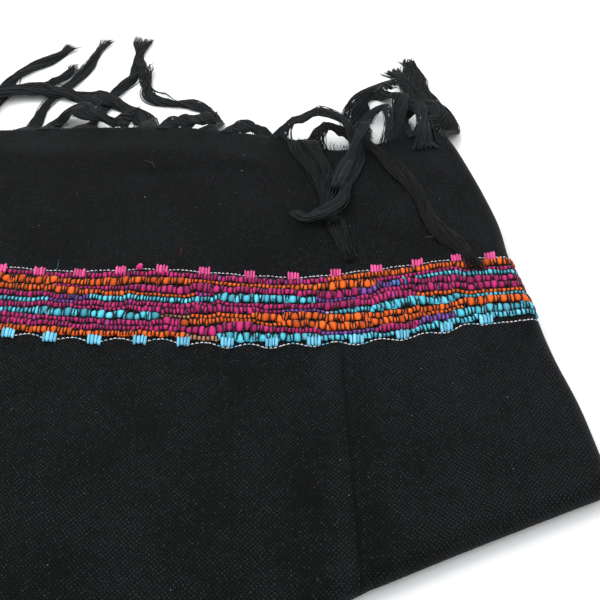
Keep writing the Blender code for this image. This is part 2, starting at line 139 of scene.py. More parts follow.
CREASE_LINE_DEPTH = 0.0003
CREASE_LINE_WIDTH = 0.0014
LIP_HEIGHT = 0.0004
LIP_PLACE = 0.008
LIP_WIDTH = 0.006
PUCKER = 0.00022
PUCKER_REACH = 0.005
BAND_SINK = 0.00035
BAND_SINK_REACH = 0.0012

# Grid and wall of the shell
SHELL = 0.0008
COLUMNS = 168
CREASE_COLUMNS = 20
ROWS_UPPER = 60
ROWS_BAND = 22
ROWS_LOWER = 84
ROLL_STEPS = 14

# Weave
WARP_PITCH = 0.00084
WEFT_PITCH = 0.00095
# How far the threads of the open weave stray, in threads
THREAD_DRIFT = 2.4
# Share of a thread's shade that stays the same along it
OWN_SHADE = 0.30
PILLOW_POWER = 0.7
GLINT = 1.9
GLINT_POWER = 6.0
# Shade of the weave: CLOUD_LINE gives broad soft patches of painted light and shade, WARP_LINE
# how much lighter warp floats are than weft floats. Columns: slope, start
CLOUD_LINE = (3.2, -0.85)
WARP_LINE = (1.35, 0.15)
PATCH = 2.0
# Painted light and shade: the part right of the crease is painted lighter and the upper part
# darker. Where the upper and the right part begin, counted in threads. Columns: slope, start
UPPER_LINE = (0.03, -0.4)
RIGHT_LINE = (0.02, 0.3)
PLAIN_LIGHT = 0.86
UPPER_LIGHT = -0.34
RIGHT_LIGHT = 0.45
# Painted light and shade beside the crease, below the band: a lighter stretch left of it, a
# dark line along it and a shaded stretch right of it.
# Columns: place in threads from the crease, width in threads, change of light
CREASE_PAINTED_SHADES = ((-8.5, 8.0, 1.10), (-1.4, 1.9, -0.9), (6.0, 9.0, -0.55))
CREASE_START = -0.08
# Gaps between the threads: painted shade, for the shaded layer seen through the open weave.
HOLE_SHADE = (0.0006, 0.0007, 0.0008, 1)
DARK_YARN = (0.0008, 0.0011, 0.0013, 1)
LIGHT_YARN = (0.0185, 0.0208, 0.0222, 1)

# Yarn colours: linear red, green, blue
DYES = {
    "magenta": (0.50, 0.022, 0.155),
    "pink": (0.84, 0.10, 0.33),
    "orange": (0.84, 0.125, 0.014),
    "peach": (0.42, 0.20, 0.11),
    "cyan": (0.085, 0.52, 0.67),
    "light_blue": (0.19, 0.60, 0.82),
    "purple": (0.19, 0.065, 0.34),
    "blue": (0.10, 0.19, 0.56),
    "pale": (0.62, 0.50, 0.60),
    "white": (0.82, 0.80, 0.84),
    "black": (0.0085, 0.0103, 0.0116),
}

# Slub rows from the fringe side down. Each row is a list of stretches: x where the stretch
# starts, its dye and its fullness. A stretch of no fullness runs on the cloth's back.
SLUB_ROWS = (
    (
        (-0.150, "magenta", 1.0), (-0.118, "orange", 0.8), (-0.096, "magenta", 0.7),
        (-0.058, "magenta", 1.0), (0.050, "orange", 0.9), (0.105, "orange", 1.4),
    ),
    (
        (-0.150, "orange", 0.7), (-0.112, "magenta", 1.0), (-0.092, "orange", 1.4),
        (-0.060, "orange", 1.0), (-0.050, "orange", 1.4), (-0.004, "orange", 0.5),
        (0.036, "orange", 1.0), (0.050, "orange", 1.3), (0.071, "magenta", 0.5),
        (0.120, "magenta", 0.75),
    ),
    (
        (-0.150, "cyan", 0.6), (-0.126, "cyan", 0.0), (0.086, "cyan", 0.5),
        (0.098, "cyan", 0.8),
    ),
    (
        (-0.150, "magenta", 0.8), (-0.120, "magenta", 0.0), (-0.060, "magenta", 0.4),
        (-0.040, "magenta", 0.8), (-0.027, "magenta", 1.5), (0.006, "magenta", 1.0),
        (0.048, "magenta", 1.4), (0.064, "purple", 1.0), (0.075, "blue", 0.9),
        (0.082, "magenta", 0.8), (0.096, "magenta", 1.2),
    ),
    (
        (-0.150, "orange", 1.3), (-0.105, "orange", 1.0), (-0.060, "orange", 1.3),
        (-0.047, "orange", 0.9), (-0.029, "orange", 0.5), (-0.004, "magenta", 0.6),
        (0.006, "magenta", 0.0),
    ),
    (
        (-0.150, "magenta", 1.0), (-0.056, "purple", 1.0), (-0.045, "cyan", 0.95),
        (0.008, "cyan", 1.3), (0.047, "purple", 0.5), (0.062, "magenta", 0.6),
        (0.086, "magenta", 1.2),
    ),
    (
        (-0.150, "cyan", 1.0), (-0.100, "cyan", 0.7), (-0.060, "purple", 0.5),
        (-0.049, "magenta", 0.9), (-0.004, "magenta", 0.5), (0.024, "magenta", 0.9),
        (0.048, "magenta", 1.3), (0.062, "magenta", 1.0), (0.086, "orange", 0.6),
    ),
    (
        (-0.150, "magenta", 0.7), (-0.090, "magenta", 0.9), (-0.050, "magenta", 0.5),
        (-0.030, "magenta", 1.0), (-0.004, "magenta", 1.3), (0.010, "magenta", 1.0),
        (0.022, "magenta", 0.5), (0.034, "purple", 0.4), (0.048, "pale", 0.4),
        (0.055, "cyan", 0.8), (0.070, "cyan", 1.3), (0.104, "cyan", 0.5),
    ),
    (
        (-0.150, "orange", 0.9), (-0.112, "cyan", 0.75), (-0.066, "cyan", 1.4),
        (-0.016, "peach", 0.45), (-0.004, "orange", 0.6), (0.022, "orange", 1.3),
        (0.066, "orange", 0.8), (0.104, "orange", 1.4),
    ),
    (
        (-0.150, "cyan", 1.2), (-0.118, "magenta", 0.75), (-0.050, "magenta", 1.0),
        (-0.014, "magenta", 1.3), (-0.007, "orange", 1.1), (0.010, "orange", 0.5),
        (0.034, "orange", 1.3), (0.070, "orange", 0.9), (0.088, "orange", 0.5),
        (0.106, "orange", 0.0),
    ),
    (
        (-0.150, "magenta", 1.0), (-0.038, "magenta", 0.7), (-0.016, "magenta", 1.0),
        (-0.004, "magenta", 1.4), (0.024, "magenta", 0.9), (0.048, "purple", 0.5),
        (0.070, "magenta", 1.0), (0.088, "purple", 1.0), (0.100, "cyan", 1.3),
    ),
    (
        (-0.150, "orange", 1.0), (-0.062, "orange", 1.3), (-0.048, "orange", 1.0),
        (-0.004, "peach", 0.7), (0.008, "cyan", 1.3), (0.046, "cyan", 0.8),
        (0.070, "cyan", 0.5), (0.086, "cyan", 1.0),
    ),
)
STRETCH_BLEND = 0.002
LEAST_FULLNESS = 0.25
BAND_MARGIN_TOP = 0.0007
# Bare cloth between the last slub row and the dashed thread. Columns: x, margin
BAND_FOOT = (
    (-0.160, 0.0000),
    (-0.050, 0.0000),
    (-0.034, 0.0011),
    (-0.022, 0.0024),
    (-0.010, 0.0024),
    (0.012, 0.0007),
    (0.140, 0.0007),
)
BAND_ROLL = 0.0105
BAND_INSET = 0.0004
BAND_FOLD_X = 0.125
BAND_SAMPLES = np.arange(-0.152, 0.150, 0.00025)
# Fullness above which a row has wide beads, or middling ones
FULL_ROW = 1.15
MIDDLING_ROW = 0.75
BEAD_SIDES = 8
BEAD_LENGTH = 0.0016
BEAD_WIDTH = 0.47
BEAD_LEAST_HEIGHT = 0.00030
BEAD_RISE = 0.27
BEAD_SUNK = 0.00012
# Beads lean only where their row is thinner than this
LEANING_SIZE = 0.0030
# Shape of a bead. Columns: share of its length, share of its width, painted shade (dark at the
# pinches, as in the warps' shadow, and lighter over the middle for a rounded, lit look)
BEAD_SHAPE = ((0.0, 0.34, 0.12), (0.20, 0.86, 0.78), (0.50, 1.0, 1.15), (0.80, 0.86, 0.80))
WARP_RADIUS = 0.00028
WARP_CROWN = 1.10
WARP_UNDER = 0.00045
WARP_BETWEEN = 0.00005
WARPS_FROM = -0.1425
WARPS_TO = 0.137
PINCH_REACH = 0.62
LEAST_SIZE = 0.0004

# Dashed threads along the band
DASHES_TO = 0.135
DASH_SHAPE = (0.6, 0.95, 1.0, 0.95, 0.6)
DASH_RADIUS = 0.00021
DASH_STRAY = 0.00008

# Tufts of floats along the band's edges
TUFT_BARS = 4
TUFT_SHAPE = (0.72, 0.95, 1.0, 0.96, 0.95, 1.0, 0.95, 0.72)
TUFT_HEIGHT = 0.00066
TUFT_LIFT = 0.00045
# How far the tufts' middles lie from the band's edges. Columns: x, pink, blue
TUFT_SHIFT = (
    (-0.160, -0.0014, -0.0018),
    (-0.045, -0.0014, -0.0018),
    (-0.020, 0.0000, 0.0002),
    (0.140, 0.0003, 0.0002),
)
# Places of the tufts along the band's edges, in x
PINK_TUFTS = (
    -0.1315, -0.1151, -0.0987, -0.0823, -0.0663, -0.0499, -0.0332, -0.0164,
    0.0010, 0.0195, 0.0373, 0.0545, 0.0713, 0.0882, 0.1044, 0.1184,
)
BLUE_TUFTS = (
    -0.1400, -0.1235, -0.1068, -0.0900, -0.0733, -0.0569, -0.0395, -0.0219,
    -0.0050, 0.0120, 0.0291, 0.0453, 0.0620, 0.0797, 0.0971, 0.1130,
)

# Single yarns that stray from the weave. Columns: dye, shade, radius, route in x and y
LOOSE_YARNS = (
    ("cyan", 0.22, 0.00016, ((-0.0597, 0.0755), (-0.0594, 0.0790), (-0.0597, 0.0830))),
    ("cyan", 1.0, 0.00045, ((0.0816, 0.0730), (0.0822, 0.0715), (0.0832, 0.0694))),
    ("magenta", 1.2, 0.00120, ((-0.0270, 0.0770), (-0.0257, 0.0776), (-0.0246, 0.0768))),
    ("pink", 0.9, 0.00060, ((-0.0264, 0.0790), (-0.0255, 0.0798), (-0.0247, 0.0788))),
    (
        "pale", 0.16, 0.00015,
        ((0.0922, 0.0964), (0.0964, 0.0970), (0.0996, 0.0996), (0.1017, 0.1040)),
    ),
    ("pale", 0.12, 0.00012, ((-0.0300, 0.1480), (-0.0262, 0.1462), (-0.0248, 0.1430))),
    ("orange", 0.20, 0.00012, ((-0.0100, 0.0905), (-0.0091, 0.0880), (-0.0102, 0.0858))),
)

# Hidden layers
LOBES = 6
LOBE_DEPTH = 0.0014
LOBE_TOP = 0.0071
LAYER_CAP = 0.0085
CAP_INSET = 0.008
FOLD_CAP_INSET = 0.006
LAYER_CLEAR = 0.0004
FOOT_INSET = 0.0004
BACK_CORNER_Y = 0.1680
# Where each side of the hidden layers starts and ends short of the pack's corners
BACK_SIDE_FROM = -0.1400
BACK_SIDE_SHORT = 0.0065
RIGHT_SIDE_SHORT = 0.006
RIGHT_FRONT_SHORT = 0.004
FRONT_SIDE_SHORT = 0.010
LEFT_SIDE_SHORT = 0.0115
LEFT_SIDE_TO = 0.1560
# How far the hidden layers reach past the top layer's back edge. Columns: x, reach
LAYER_REACH = (
    (-0.160, 0.0010),
    (-0.060, 0.0005),
    (-0.030, 0.0050),
    (0.005, 0.0045),
    (0.030, 0.0000),
    (0.055, -0.0020),
    (0.110, -0.0010),
)

# Fringe
GAP = 0.0003
HEAD_DEPTH = 0.0024
HEAD_HEIGHT = 0.0015
HEAD_CLEAR_WIDTH = 0.0037
STRANDS = 4
STRAND_RADIUS = 0.00060
TOP_EXIT_RISE = 0.0024
STRAND_PITCH = 0.00135
SEGMENT = 0.0072
LIE_SLOPE = 0.75
EDGE_MARGIN = 0.0014
FLOOR_CLEAR = 0.0003
CROSS_CLEAR = 0.0004
LAY_STEP = 0.0015
STRAND_APART = 0.42
STRAND_FILL = 0.62
YARN_RADIUS = 0.00017
YARN_POINTS = 40
UP = (0.0, 0.0, 1.0)
SHORT_TASSEL = 0.04
# How a tassel draws the edge's yarns together. Columns: reach, half width
LONG_ROOT = (0.011, 0.0055)
SHORT_ROOT = (0.006, 0.0030)
LOOSE_IN_TASSEL = 3
TIP_SHARE = 0.16
TIP_FRAY = 0.6
BUNDLE_HEIGHT = 0.0010
ROOT_INSET = 0.0006
ROOT_SUNK = 0.0004
BAND_RISE = 0.0012
# Loose yarn ends of the fringed edge, and the dip that bares more of them
FRAY_FROM = -0.147
FRAY_TO = 0.104
FRAY_PITCH = 0.00062
FRAY_RADIUS = 0.00016
FRAY_INSET = 0.0005
DIP_X = 0.056
DIP_WIDTH = 0.008
LINT_SPECKS = 70
LINT_COLOUR = (0.42, 0.44, 0.46)

# One row for each tassel, in the order in which they lie on one another.
# Columns: name, x of the root, side exit or top exit, heading in degrees, bends in degrees
# over equal shares of the length, length, spread, turns of the twist, paleness with painted
# sheen (bundles that catch the light are painted lighter), share of the
# width that the yarns fill (above 1 it makes them stouter too), number of yarns
TASSELS = (
    ("tassel_01", -0.1440, "side", 98, (14, -30, 18, 24), 0.088, 1.0, 1.2, 1.0, 1.10, 62),
    ("tassel_02", -0.1180, "side", 70, (5, 4, -46, 32), 0.094, 1.0, 1.5, 1.0, 1.35, 70),
    ("tassel_03", -0.0895, "side", 76, (5, -29, 27, -12), 0.092, 1.1, 1.0, 1.1, 1.05, 64),
    ("tassel_04", -0.0620, "side", 78, (-3, -18, 36, -9), 0.090, 1.0, 2.2, 1.0, 1.30, 70),
    ("tassel_05", -0.0033, "side", 56, (62, 69, -86, -6), 0.085, 1.0, 2.0, 1.0, 1.35, 60),
    ("tassel_06", -0.1285, "side", 72, (-9, -29, -17, 82), 0.089, 1.0, 1.4, 1.1, 1.05, 56),
    ("tassel_07", -0.0303, "side", 93, (51, 24, 10, 66), 0.105, 1.0, 1.6, 0.9, 1.95, 90),
    ("tassel_08", -0.0777, "side", 117, (-73, -97, 57, -18), 0.055, 1.0, 1.0, 0.9, 2.1, 84),
    ("tassel_09", -0.0240, "side", 50, (-38, -16, 4, -1), 0.026, 1.0, 1.5, 0.9, 2.0, 90),
    ("tassel_10", 0.0060, "side", 40, (-31, -22, -4, 4), 0.027, 1.0, 1.5, 0.9, 2.0, 90),
    ("tassel_16", 0.1030, "side", 35, (46, 38, -5, -17, 6), 0.078, 1.5, 1.0, 0.7, 1.35, 84),
    ("tassel_17", 0.0985, "side", 33, (57, 22, 4, -8, 13), 0.069, 1.3, 1.0, 0.7, 1.35, 78),
    ("tassel_18", 0.0938, "side", 12, (20, 60, 60, 30, 20), 0.036, 1.1, 1.0, 0.8, 1.9, 84),
    ("tassel_20", 0.0893, "side", 104, (8, -98, -100, -4, 0, 8), 0.052, 1.5, 0.4, 1.9, 1.15, 76),
    ("tassel_14", 0.0850, "side", 80, (6, 4, 53, 131, -15, 36), 0.090, 1.0, 1.6, 0.8, 1.6, 84),
    ("tassel_19", 0.0700, "side", 100, (-1, 7, -42, -69, -64), 0.051, 1.2, 1.2, 0.8, 1.9, 84),
    ("tassel_11", 0.0370, "top", -84, (20, -10, -4, 2, 4), 0.090, 1.5, 0.9, 0.45, 1.05, 72),
    ("tassel_21", 0.0433, "top", -80, (12, -3, -27, 8, 26), 0.064, 1.3, 0.9, 0.8, 0.9, 54),
    ("tassel_13", 0.0474, "side", 84, (-134, -6, -6, -19, 32, -36), 0.129, 1.4, 1.6, 0.25, 1.15, 84),
    (
        "tassel_12", 0.0315, "side", 62, (-68, -45, -33, -28, 14, -46, -110),
        0.116, 1.1, 1.4, 1.4, 1.1, 64,
    ),
    ("tassel_15", 0.0808, "side", 64, (64, 137, -8, -13, 8, 1, -4), 0.078, 1.3, 0.8, 1.9, 0.85, 56),
)

# Camera at the photograph's angle, and the studio
VIEW_CENTRE = Vector((0.040, 0.060, 0.010))
VIEW_DISTANCE = 0.488
VIEW_TILT = math.radians(45.0)
LENS = 73.2
SENSOR = 36.0
FLOOR_HALF = 3.0
FLOOR_DROP = 0.0001
FLOOR_COLOUR = (0.88, 0.885, 0.89, 1)
SKY_COLOUR = (0.97, 0.985, 1.0, 1)
SKY_LIGHT = 0.85
# Columns: name, place, size, power
LAMPS = (
    ("key", (-0.50, 0.50, 1.25), 0.9, 11.0),
    ("fill", (0.80, -0.20, 1.20), 1.2, 6.0),
)
LAMPS_AIM = Vector((0.0, 0.04, 0.0))


def curve_through(rows, at):
    """Read a smooth curve through a two-column table."""
    xs, ys = np.array(rows).T
    slopes = np.gradient(ys, xs)
    at = np.clip(at, xs[0], xs[-1])
    i = np.clip(np.searchsorted(xs, at) - 1, 0, len(xs) - 2)
    width = xs[i + 1] - xs[i]
    t = (at - xs[i]) / width
    start = (2 * t**3 - 3 * t**2 + 1) * ys[i] + (t**3 - 2 * t**2 + t) * width * slopes[i]
    end = (3 * t**2 - 2 * t**3) * ys[i + 1] + (t**3 - t**2) * width * slopes[i + 1]
    return start + end


def slope_of(rows, at, step=0.002):
    """Slope of a table's curve."""
    return (curve_through(rows, at + step) - curve_through(rows, at - step)) / (2 * step)


def crossing(row_table, column_table):
    """X where a row of the cloth meets an edge, a crease or a fold."""
    x = 0.0
    for _ in range(CROSSING_LOOPS):
        x = curve_through(column_table, curve_through(row_table, x))
    return x


def smooth_step(t):
    t = np.clip(t, 0.0, 1.0)
    return t * t * (3 - 2 * t)


def scallop(x, tufts):
    """A wave that is 1 at each tuft and 0 midway between two."""
    return 0.5 + 0.5 * np.cos(2 * np.pi * np.interp(x, tufts, np.arange(len(tufts))))


def top_height(x, y, finer=True):
    """Height of the top layer's outer side on the flat part of the pack."""
    behind = curve_through(BACK_EDGE, x) - y
    height = STACK_HEIGHT - EDGE_DROOP * np.exp(-np.maximum(behind, 0.0) / DROOP_REACH)
    folds = SOFT_FOLDS + FINE_CREASES if finer else SOFT_FOLDS
    for fold_x, fold_y, turn, half_length, half_width, rise in folds:
        along = (x - fold_x) * math.cos(turn) + (y - fold_y) * math.sin(turn)
        across = (y - fold_y) * math.cos(turn) - (x - fold_x) * math.sin(turn)
        height = height + rise * np.exp(-(along / half_length) ** 4 - (across / half_width) ** 2)
    aside = x - curve_through(CREASE, y)
    below_band = curve_through(BAND_BOTTOM, x) - y
    strength = np.clip(below_band / CREASE_FADE, 0.0, 1.0)
    height = height - strength * CREASE_DEPTH * np.exp(-(aside / CREASE_WIDTH) ** 2)
    height = height + strength * LIP_HEIGHT * np.exp(-((aside + LIP_PLACE) / LIP_WIDTH) ** 2)
    if finer:
        line = np.exp(-(aside / CREASE_LINE_WIDTH) ** 2)
        height = height - strength * CREASE_LINE_DEPTH * line
        above_band = y - curve_through(BAND_TOP, x)
        for distance, tufts in ((below_band, BLUE_TUFTS), (above_band, PINK_TUFTS)):
            wave = 2 * scallop(x, tufts) - 1
            height = height + PUCKER * wave * np.exp(-(distance / PUCKER_REACH) ** 2)
    return height


def unit_rows(vectors):
    return vectors / np.linalg.norm(vectors, axis=-1, keepdims=True)


def right_outward(y):
    """Direction out of the pack, square to the right fold."""
    slope = np.asarray(slope_of(RIGHT_FOLD, y))
    return unit_rows(np.stack((np.ones_like(slope), -slope), -1))


def front_outward(x):
    """Direction out of the pack, square to the front fold."""
    slope = np.asarray(slope_of(FRONT_FOLD, x))
    return unit_rows(np.stack((slope, -np.ones_like(slope)), -1))


def rolled(x, y, outward, angle, lift=0.0):
    """Points on the cloth after it turned by an angle round a fold."""
    half = top_height(x, y) / 2
    reach = (half + lift) * np.sin(angle)
    level = half + (half + lift) * np.cos(angle)
    return np.stack((x + outward[..., 0] * reach, y + outward[..., 1] * reach, level), -1)


def on_cloth(x, y, lift):
    """Points over the cloth and its direction out there, where x past the right fold goes round it."""
    x, y = np.broadcast_arrays(np.asarray(x, float), np.asarray(y, float))
    fold = curve_through(RIGHT_FOLD, y)
    flat_x = np.minimum(x, fold)
    angle = np.minimum((x - flat_x) / (top_height(flat_x, y) / 2), ROLL_END)
    outward = right_outward(y)
    points = rolled(flat_x, y, outward, angle, lift)
    ups = np.stack(
        (outward[..., 0] * np.sin(angle), outward[..., 1] * np.sin(angle), np.cos(angle)), -1
    )
    return points, ups


def link_piece(name, mesh, material):
    """A named piece on the shawl's only body, with its material."""
    mesh.materials.append(material)
    piece = bpy.data.objects.new(name, mesh)
    bpy.context.scene.collection.objects.link(piece)
    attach(piece, "root")
    return piece


def mesh_from(name, points, faces):
    """A mesh from an array of points and a list of arrays of faces with like corners."""
    mesh = bpy.data.meshes.new(name)
    loops = np.concatenate([group.ravel() for group in faces])
    totals = np.concatenate([np.full(len(group), group.shape[1]) for group in faces])
    starts = np.concatenate(((0,), np.cumsum(totals)[:-1]))
    mesh.vertices.add(len(points))
    mesh.vertices.foreach_set("co", np.asarray(points, np.float32).ravel())
    mesh.loops.add(len(loops))
    mesh.loops.foreach_set("vertex_index", loops.astype(np.int32))
    mesh.polygons.add(len(totals))
    mesh.polygons.foreach_set("loop_start", starts.astype(np.int32))
    mesh.polygons.foreach_set("loop_total", totals.astype(np.int32))
    mesh.update(calc_edges=True)
    mesh.validate()
    mesh.shade_smooth()
    return mesh


class Tubes:
    """Closed tubes gathered into one mesh, each point with its yarn's colour."""

    def __init__(self):
        self.points = []
        self.colours = []
        self.faces = {}
        self.total = 0

    def add(self, route, wide, tall, sides, up, colour, slant=0.0):
        """A tube along a route, with its half width and half height at each point."""
        route = np.asarray(route, float)
        count = len(route)
        wide = np.broadcast_to(wide, (count,))
        tall = np.broadcast_to(tall, (count,))
        up = np.broadcast_to(up, (count, 3))
        way = unit_rows(np.gradient(route, axis=0))
        across = np.cross(up, way)
        weak = np.linalg.norm(across, axis=1) < 0.05
        across[weak] = np.cross((0.0, 1.0, 0.0), way[weak])
        across = unit_rows(across)
        upward = np.cross(way, across)
        turns = (np.arange(sides) + 0.5) * 2 * np.pi / sides
        side = wide[:, None] * np.cos(turns)
        rise = tall[:, None] * np.sin(turns)
        rings = route[:, None] + across[:, None] * side[..., None] + upward[:, None] * rise[..., None]
        rings = rings + way[:, None] * (slant * side)[..., None]
        first = self.total + np.arange(count - 1)[:, None] * sides
        here = first + np.arange(sides)
        after = first + (np.arange(sides) + 1) % sides
        quads = np.stack((here, after, after + sides, here + sides), -1).reshape(-1, 4)
        start = self.total + np.arange(sides)[::-1]
        end = self.total + (count - 1) * sides + np.arange(sides)
        self.faces.setdefault("quads", []).append(quads)
        self.faces.setdefault(sides, []).append(np.stack((start, end)))
        self.points.append(rings.reshape(-1, 3))
        self.colours.append(np.repeat(np.broadcast_to(colour, (count, 3)), sides, axis=0))
        self.total += count * sides

    def piece(self, name, material, slot):
        """The gathered tubes as one named piece."""
        groups = [np.concatenate(group) for group in self.faces.values()]
        mesh = mesh_from(name, np.concatenate(self.points), groups)
        colours = np.concatenate(self.colours)
        # The dye attribute holds each yarn's dye times the beads' painted shade and the tassels'
        # paleness with painted sheen.
        dye = mesh.color_attributes.new("dye", "FLOAT_COLOR", "POINT")
        rgba = np.concatenate((colours, np.ones((len(colours), 1))), axis=1)
        dye.data.foreach_set("color", rgba.astype(np.float32).ravel())
        return link_piece(name, mesh, material)


# Materials


class Nodes:
    """Short ways to add nodes to a material's tree."""

    def __init__(self, name):
        self.material = bpy.data.materials.new(name)
        self.material.use_nodes = True
        self.tree = self.material.node_tree
        self.shader = self.tree.nodes["Principled BSDF"]

    def add(self, kind, **settings):
        made = self.tree.nodes.new(kind)
        for key, value in settings.items():
            setattr(made, key, value)
        return made

    def wire(self, source, target):
        self.tree.links.new(source, target)

    def put(self, socket, value):
        """Wire or set a socket."""
        if isinstance(value, bpy.types.NodeSocket):
            self.wire(value, socket)
        else:
            socket.default_value = value

    def fill(self, made, *values):
        """Wire or set a node's first sockets."""
        for socket, value in zip(made.inputs, values):
            self.put(socket, value)
        return made.outputs[0]

    def math(self, operation, *values, clamp=False):
        return self.fill(self.add("ShaderNodeMath", operation=operation, use_clamp=clamp), *values)

    def times(self, first, second):
        return self.math("MULTIPLY", first, second)

    def line(self, value, slope, start, clamp=False):
        """The slope times the value, with the start added."""
        return self.math("MULTIPLY_ADD", value, slope, start, clamp=clamp)

    def join(self, x, y):
        return self.fill(self.add("ShaderNodeCombineXYZ"), x, y)

    def mix(self, share, first, second, blend="MIX"):
        """Mix two colours."""
        made = self.add("ShaderNodeMix", data_type="RGBA", blend_type=blend)
        for place, value in ((0, share), (6, first), (7, second)):
            self.put(made.inputs[place], value)
        return made.outputs[2]

    def noise(self, scale, detail, vector):
        made = self.add("ShaderNodeTexNoise")
        made.inputs["Scale"].default_value = scale
        made.inputs["Detail"].default_value = detail
        self.wire(vector, made.inputs["Vector"])
        return made.outputs[0]

    def white_noise(self, dimensions, socket, value):
        """A random number for each whole value."""
        made = self.add("ShaderNodeTexWhiteNoise", noise_dimensions=dimensions)
        self.wire(value, made.inputs[socket])
        return made.outputs[0]

    def bump(self, height, distance, strength):
        made = self.add("ShaderNodeBump")
        made.inputs["Distance"].default_value = distance
        made.inputs["Strength"].default_value = strength
        self.wire(height, made.inputs["Height"])
        self.wire(made.outputs[0], self.shader.inputs["Normal"])

    def gloss(self, roughness, sheen, sheen_tint, specular):
        """Set the shader's own gloss and sheen."""
        settings = (
            ("Roughness", roughness),
            ("Sheen Weight", sheen),
            ("Sheen Roughness", 0.45),
            ("Sheen Tint", sheen_tint),
            ("Specular IOR Level", specular),
        )
        for socket, value in settings:
            self.shader.inputs[socket].default_value = value


def crease_share(nodes, warp, place, width):
    """1 on a line along the warp and 0 past its width, counted in threads from the crease."""
    apart = nodes.math("ABSOLUTE", nodes.math("SUBTRACT", warp, place))
    share = nodes.math("SUBTRACT", 1.0, nodes.math("DIVIDE", apart, width))
    return nodes.math("MAXIMUM", share, 0.0)


def weave_material(name):
    """Open plain weave of uneven charcoal yarn, measured in threads by the map called weave."""
    nodes = Nodes(name)
    place = nodes.add("ShaderNodeUVMap", uv_map="weave").outputs[0]
    apart = nodes.add("ShaderNodeSeparateXYZ")
    nodes.wire(place, apart.inputs[0])
    warp, weft = apart.outputs[0], apart.outputs[1]
    waves, numbers, shades = [], [], []
    # Columns: axis, scale of its drift, stretch of its slubs along the warp and the weft
    threads = ((warp, 0.19, 1.0, 0.06), (weft, 0.23, 0.06, 1.0))
    for axis, drift_scale, along_warp, along_weft in threads:
        thread = nodes.line(nodes.noise(drift_scale, 2.0, place), THREAD_DRIFT, axis)
        waves.append(nodes.math("SINE", nodes.times(thread, math.pi)))
        numbers.append(nodes.math("FLOOR", thread))
        own = nodes.white_noise("1D", "W", numbers[-1])
        stretched = nodes.join(nodes.times(warp, along_warp), nodes.times(weft, along_weft))
        slub = nodes.noise(0.9, 2.0, stretched)
        shades.append(nodes.line(slub, 1.0 - OWN_SHADE, nodes.times(own, OWN_SHADE)))
    product = nodes.times(*waves)
    pillow = nodes.math("POWER", nodes.math("ABSOLUTE", product), PILLOW_POWER)
    warp_over = nodes.math("GREATER_THAN", product, 0.0)
    yarn = nodes.line(nodes.math("SUBTRACT", *shades), warp_over, shades[1])
    spark = nodes.white_noise("2D", "Vector", nodes.join(*numbers))
    glint = nodes.times(nodes.math("POWER", spark, GLINT_POWER), GLINT)
    # Broad soft patches of painted light and shade over the cloth.
    cloud = nodes.line(nodes.noise(0.028, 5.0, place), *CLOUD_LINE)
    patch = nodes.times(nodes.noise(0.24, 2.0, place), PATCH)
    shade = nodes.times(patch, nodes.times(cloud, nodes.line(warp_over, *WARP_LINE)))
    # Painted light and shade: lighter right of the crease, darker on the upper part.
    upper = nodes.line(weft, *UPPER_LINE, clamp=True)
    right = nodes.line(warp, *RIGHT_LINE, clamp=True)
    part = nodes.line(right, RIGHT_LIGHT, nodes.line(upper, UPPER_LIGHT, PLAIN_LIGHT))
    light = nodes.times(nodes.math("ADD", yarn, glint), nodes.times(shade, part))
    # Painted light and shade beside the crease, fading in below the band.
    below = nodes.math("MULTIPLY", weft, CREASE_START, clamp=True)
    for line_place, width, change in CREASE_PAINTED_SHADES:
        share = nodes.times(crease_share(nodes, warp, line_place, width), below)
        light = nodes.times(light, nodes.line(share, change, 1.0))
    # The gaps between the threads are painted dark as shade, the threads in the yarn colours.
    colour = nodes.mix(pillow, HOLE_SHADE, nodes.mix(light, DARK_YARN, LIGHT_YARN))
    nodes.wire(colour, nodes.shader.inputs["Base Color"])
    nodes.bump(nodes.times(pillow, nodes.line(yarn, 0.8, 0.6)), 0.00030, 0.8)
    nodes.gloss(0.58, 0.012, (0.75, 0.85, 0.95, 1), 0.065)
    return nodes.material


def yarn_material(name, gloss, fibre_scale, fibre_depth, sheen):
    """Spun yarn with fine fibres, coloured from the mesh's dye attribute: the dye with the beads'
    painted shade and the tassels' painted sheen.
    """
    nodes = Nodes(name)
    dye = nodes.add("ShaderNodeVertexColor", layer_name="dye").outputs[0]
    fibres = nodes.noise(fibre_scale, 3.0, nodes.add("ShaderNodeTexCoord").outputs["Object"])
    mixed = nodes.mix(1.0, dye, nodes.line(fibres, 0.9, 0.52), blend="MULTIPLY")
    nodes.wire(mixed, nodes.shader.inputs["Base Color"])
    nodes.bump(fibres, fibre_depth, 0.6)
    nodes.gloss(gloss, sheen, (1.0, 1.0, 1.0, 1), 0.12)
    return nodes.material


# The woven top layer


def column_shares():
    """Shares of the way from the left edge to the right fold, closer beside the crease."""
    even = np.linspace(0.0, 1.0, COLUMNS + 1)
    close = np.linspace(CREASE_SHARE - 0.02, CREASE_SHARE + 0.02, CREASE_COLUMNS)
    return np.unique(np.round(np.concatenate((even, close)), 5))


def guide_row(table):
    """Points of one row that runs from the left edge over the crease to the right fold."""
    stops = [crossing(table, column) for column in (LEFT_EDGE, CREASE, RIGHT_FOLD)]
    xs = np.interp(column_shares(), (0.0, CREASE_SHARE, 1.0), stops)
    return np.stack((xs, curve_through(table, xs)), -1)


def rows_between(first, last, count):
    """Rows from one guide row to the next, whose right ends follow the right fold."""
    follow = np.clip((column_shares() - FOLLOW_FROM) / (1.0 - FOLLOW_FROM), 0.0, 1.0)
    rows = []
    for share in np.linspace(0.0, 1.0, count + 1):
        row = first * (1.0 - share) + last * share
        row[:, 0] += follow * (curve_through(RIGHT_FOLD, row[-1, 1]) - row[-1, 0])
        rows.append(row)
    return rows


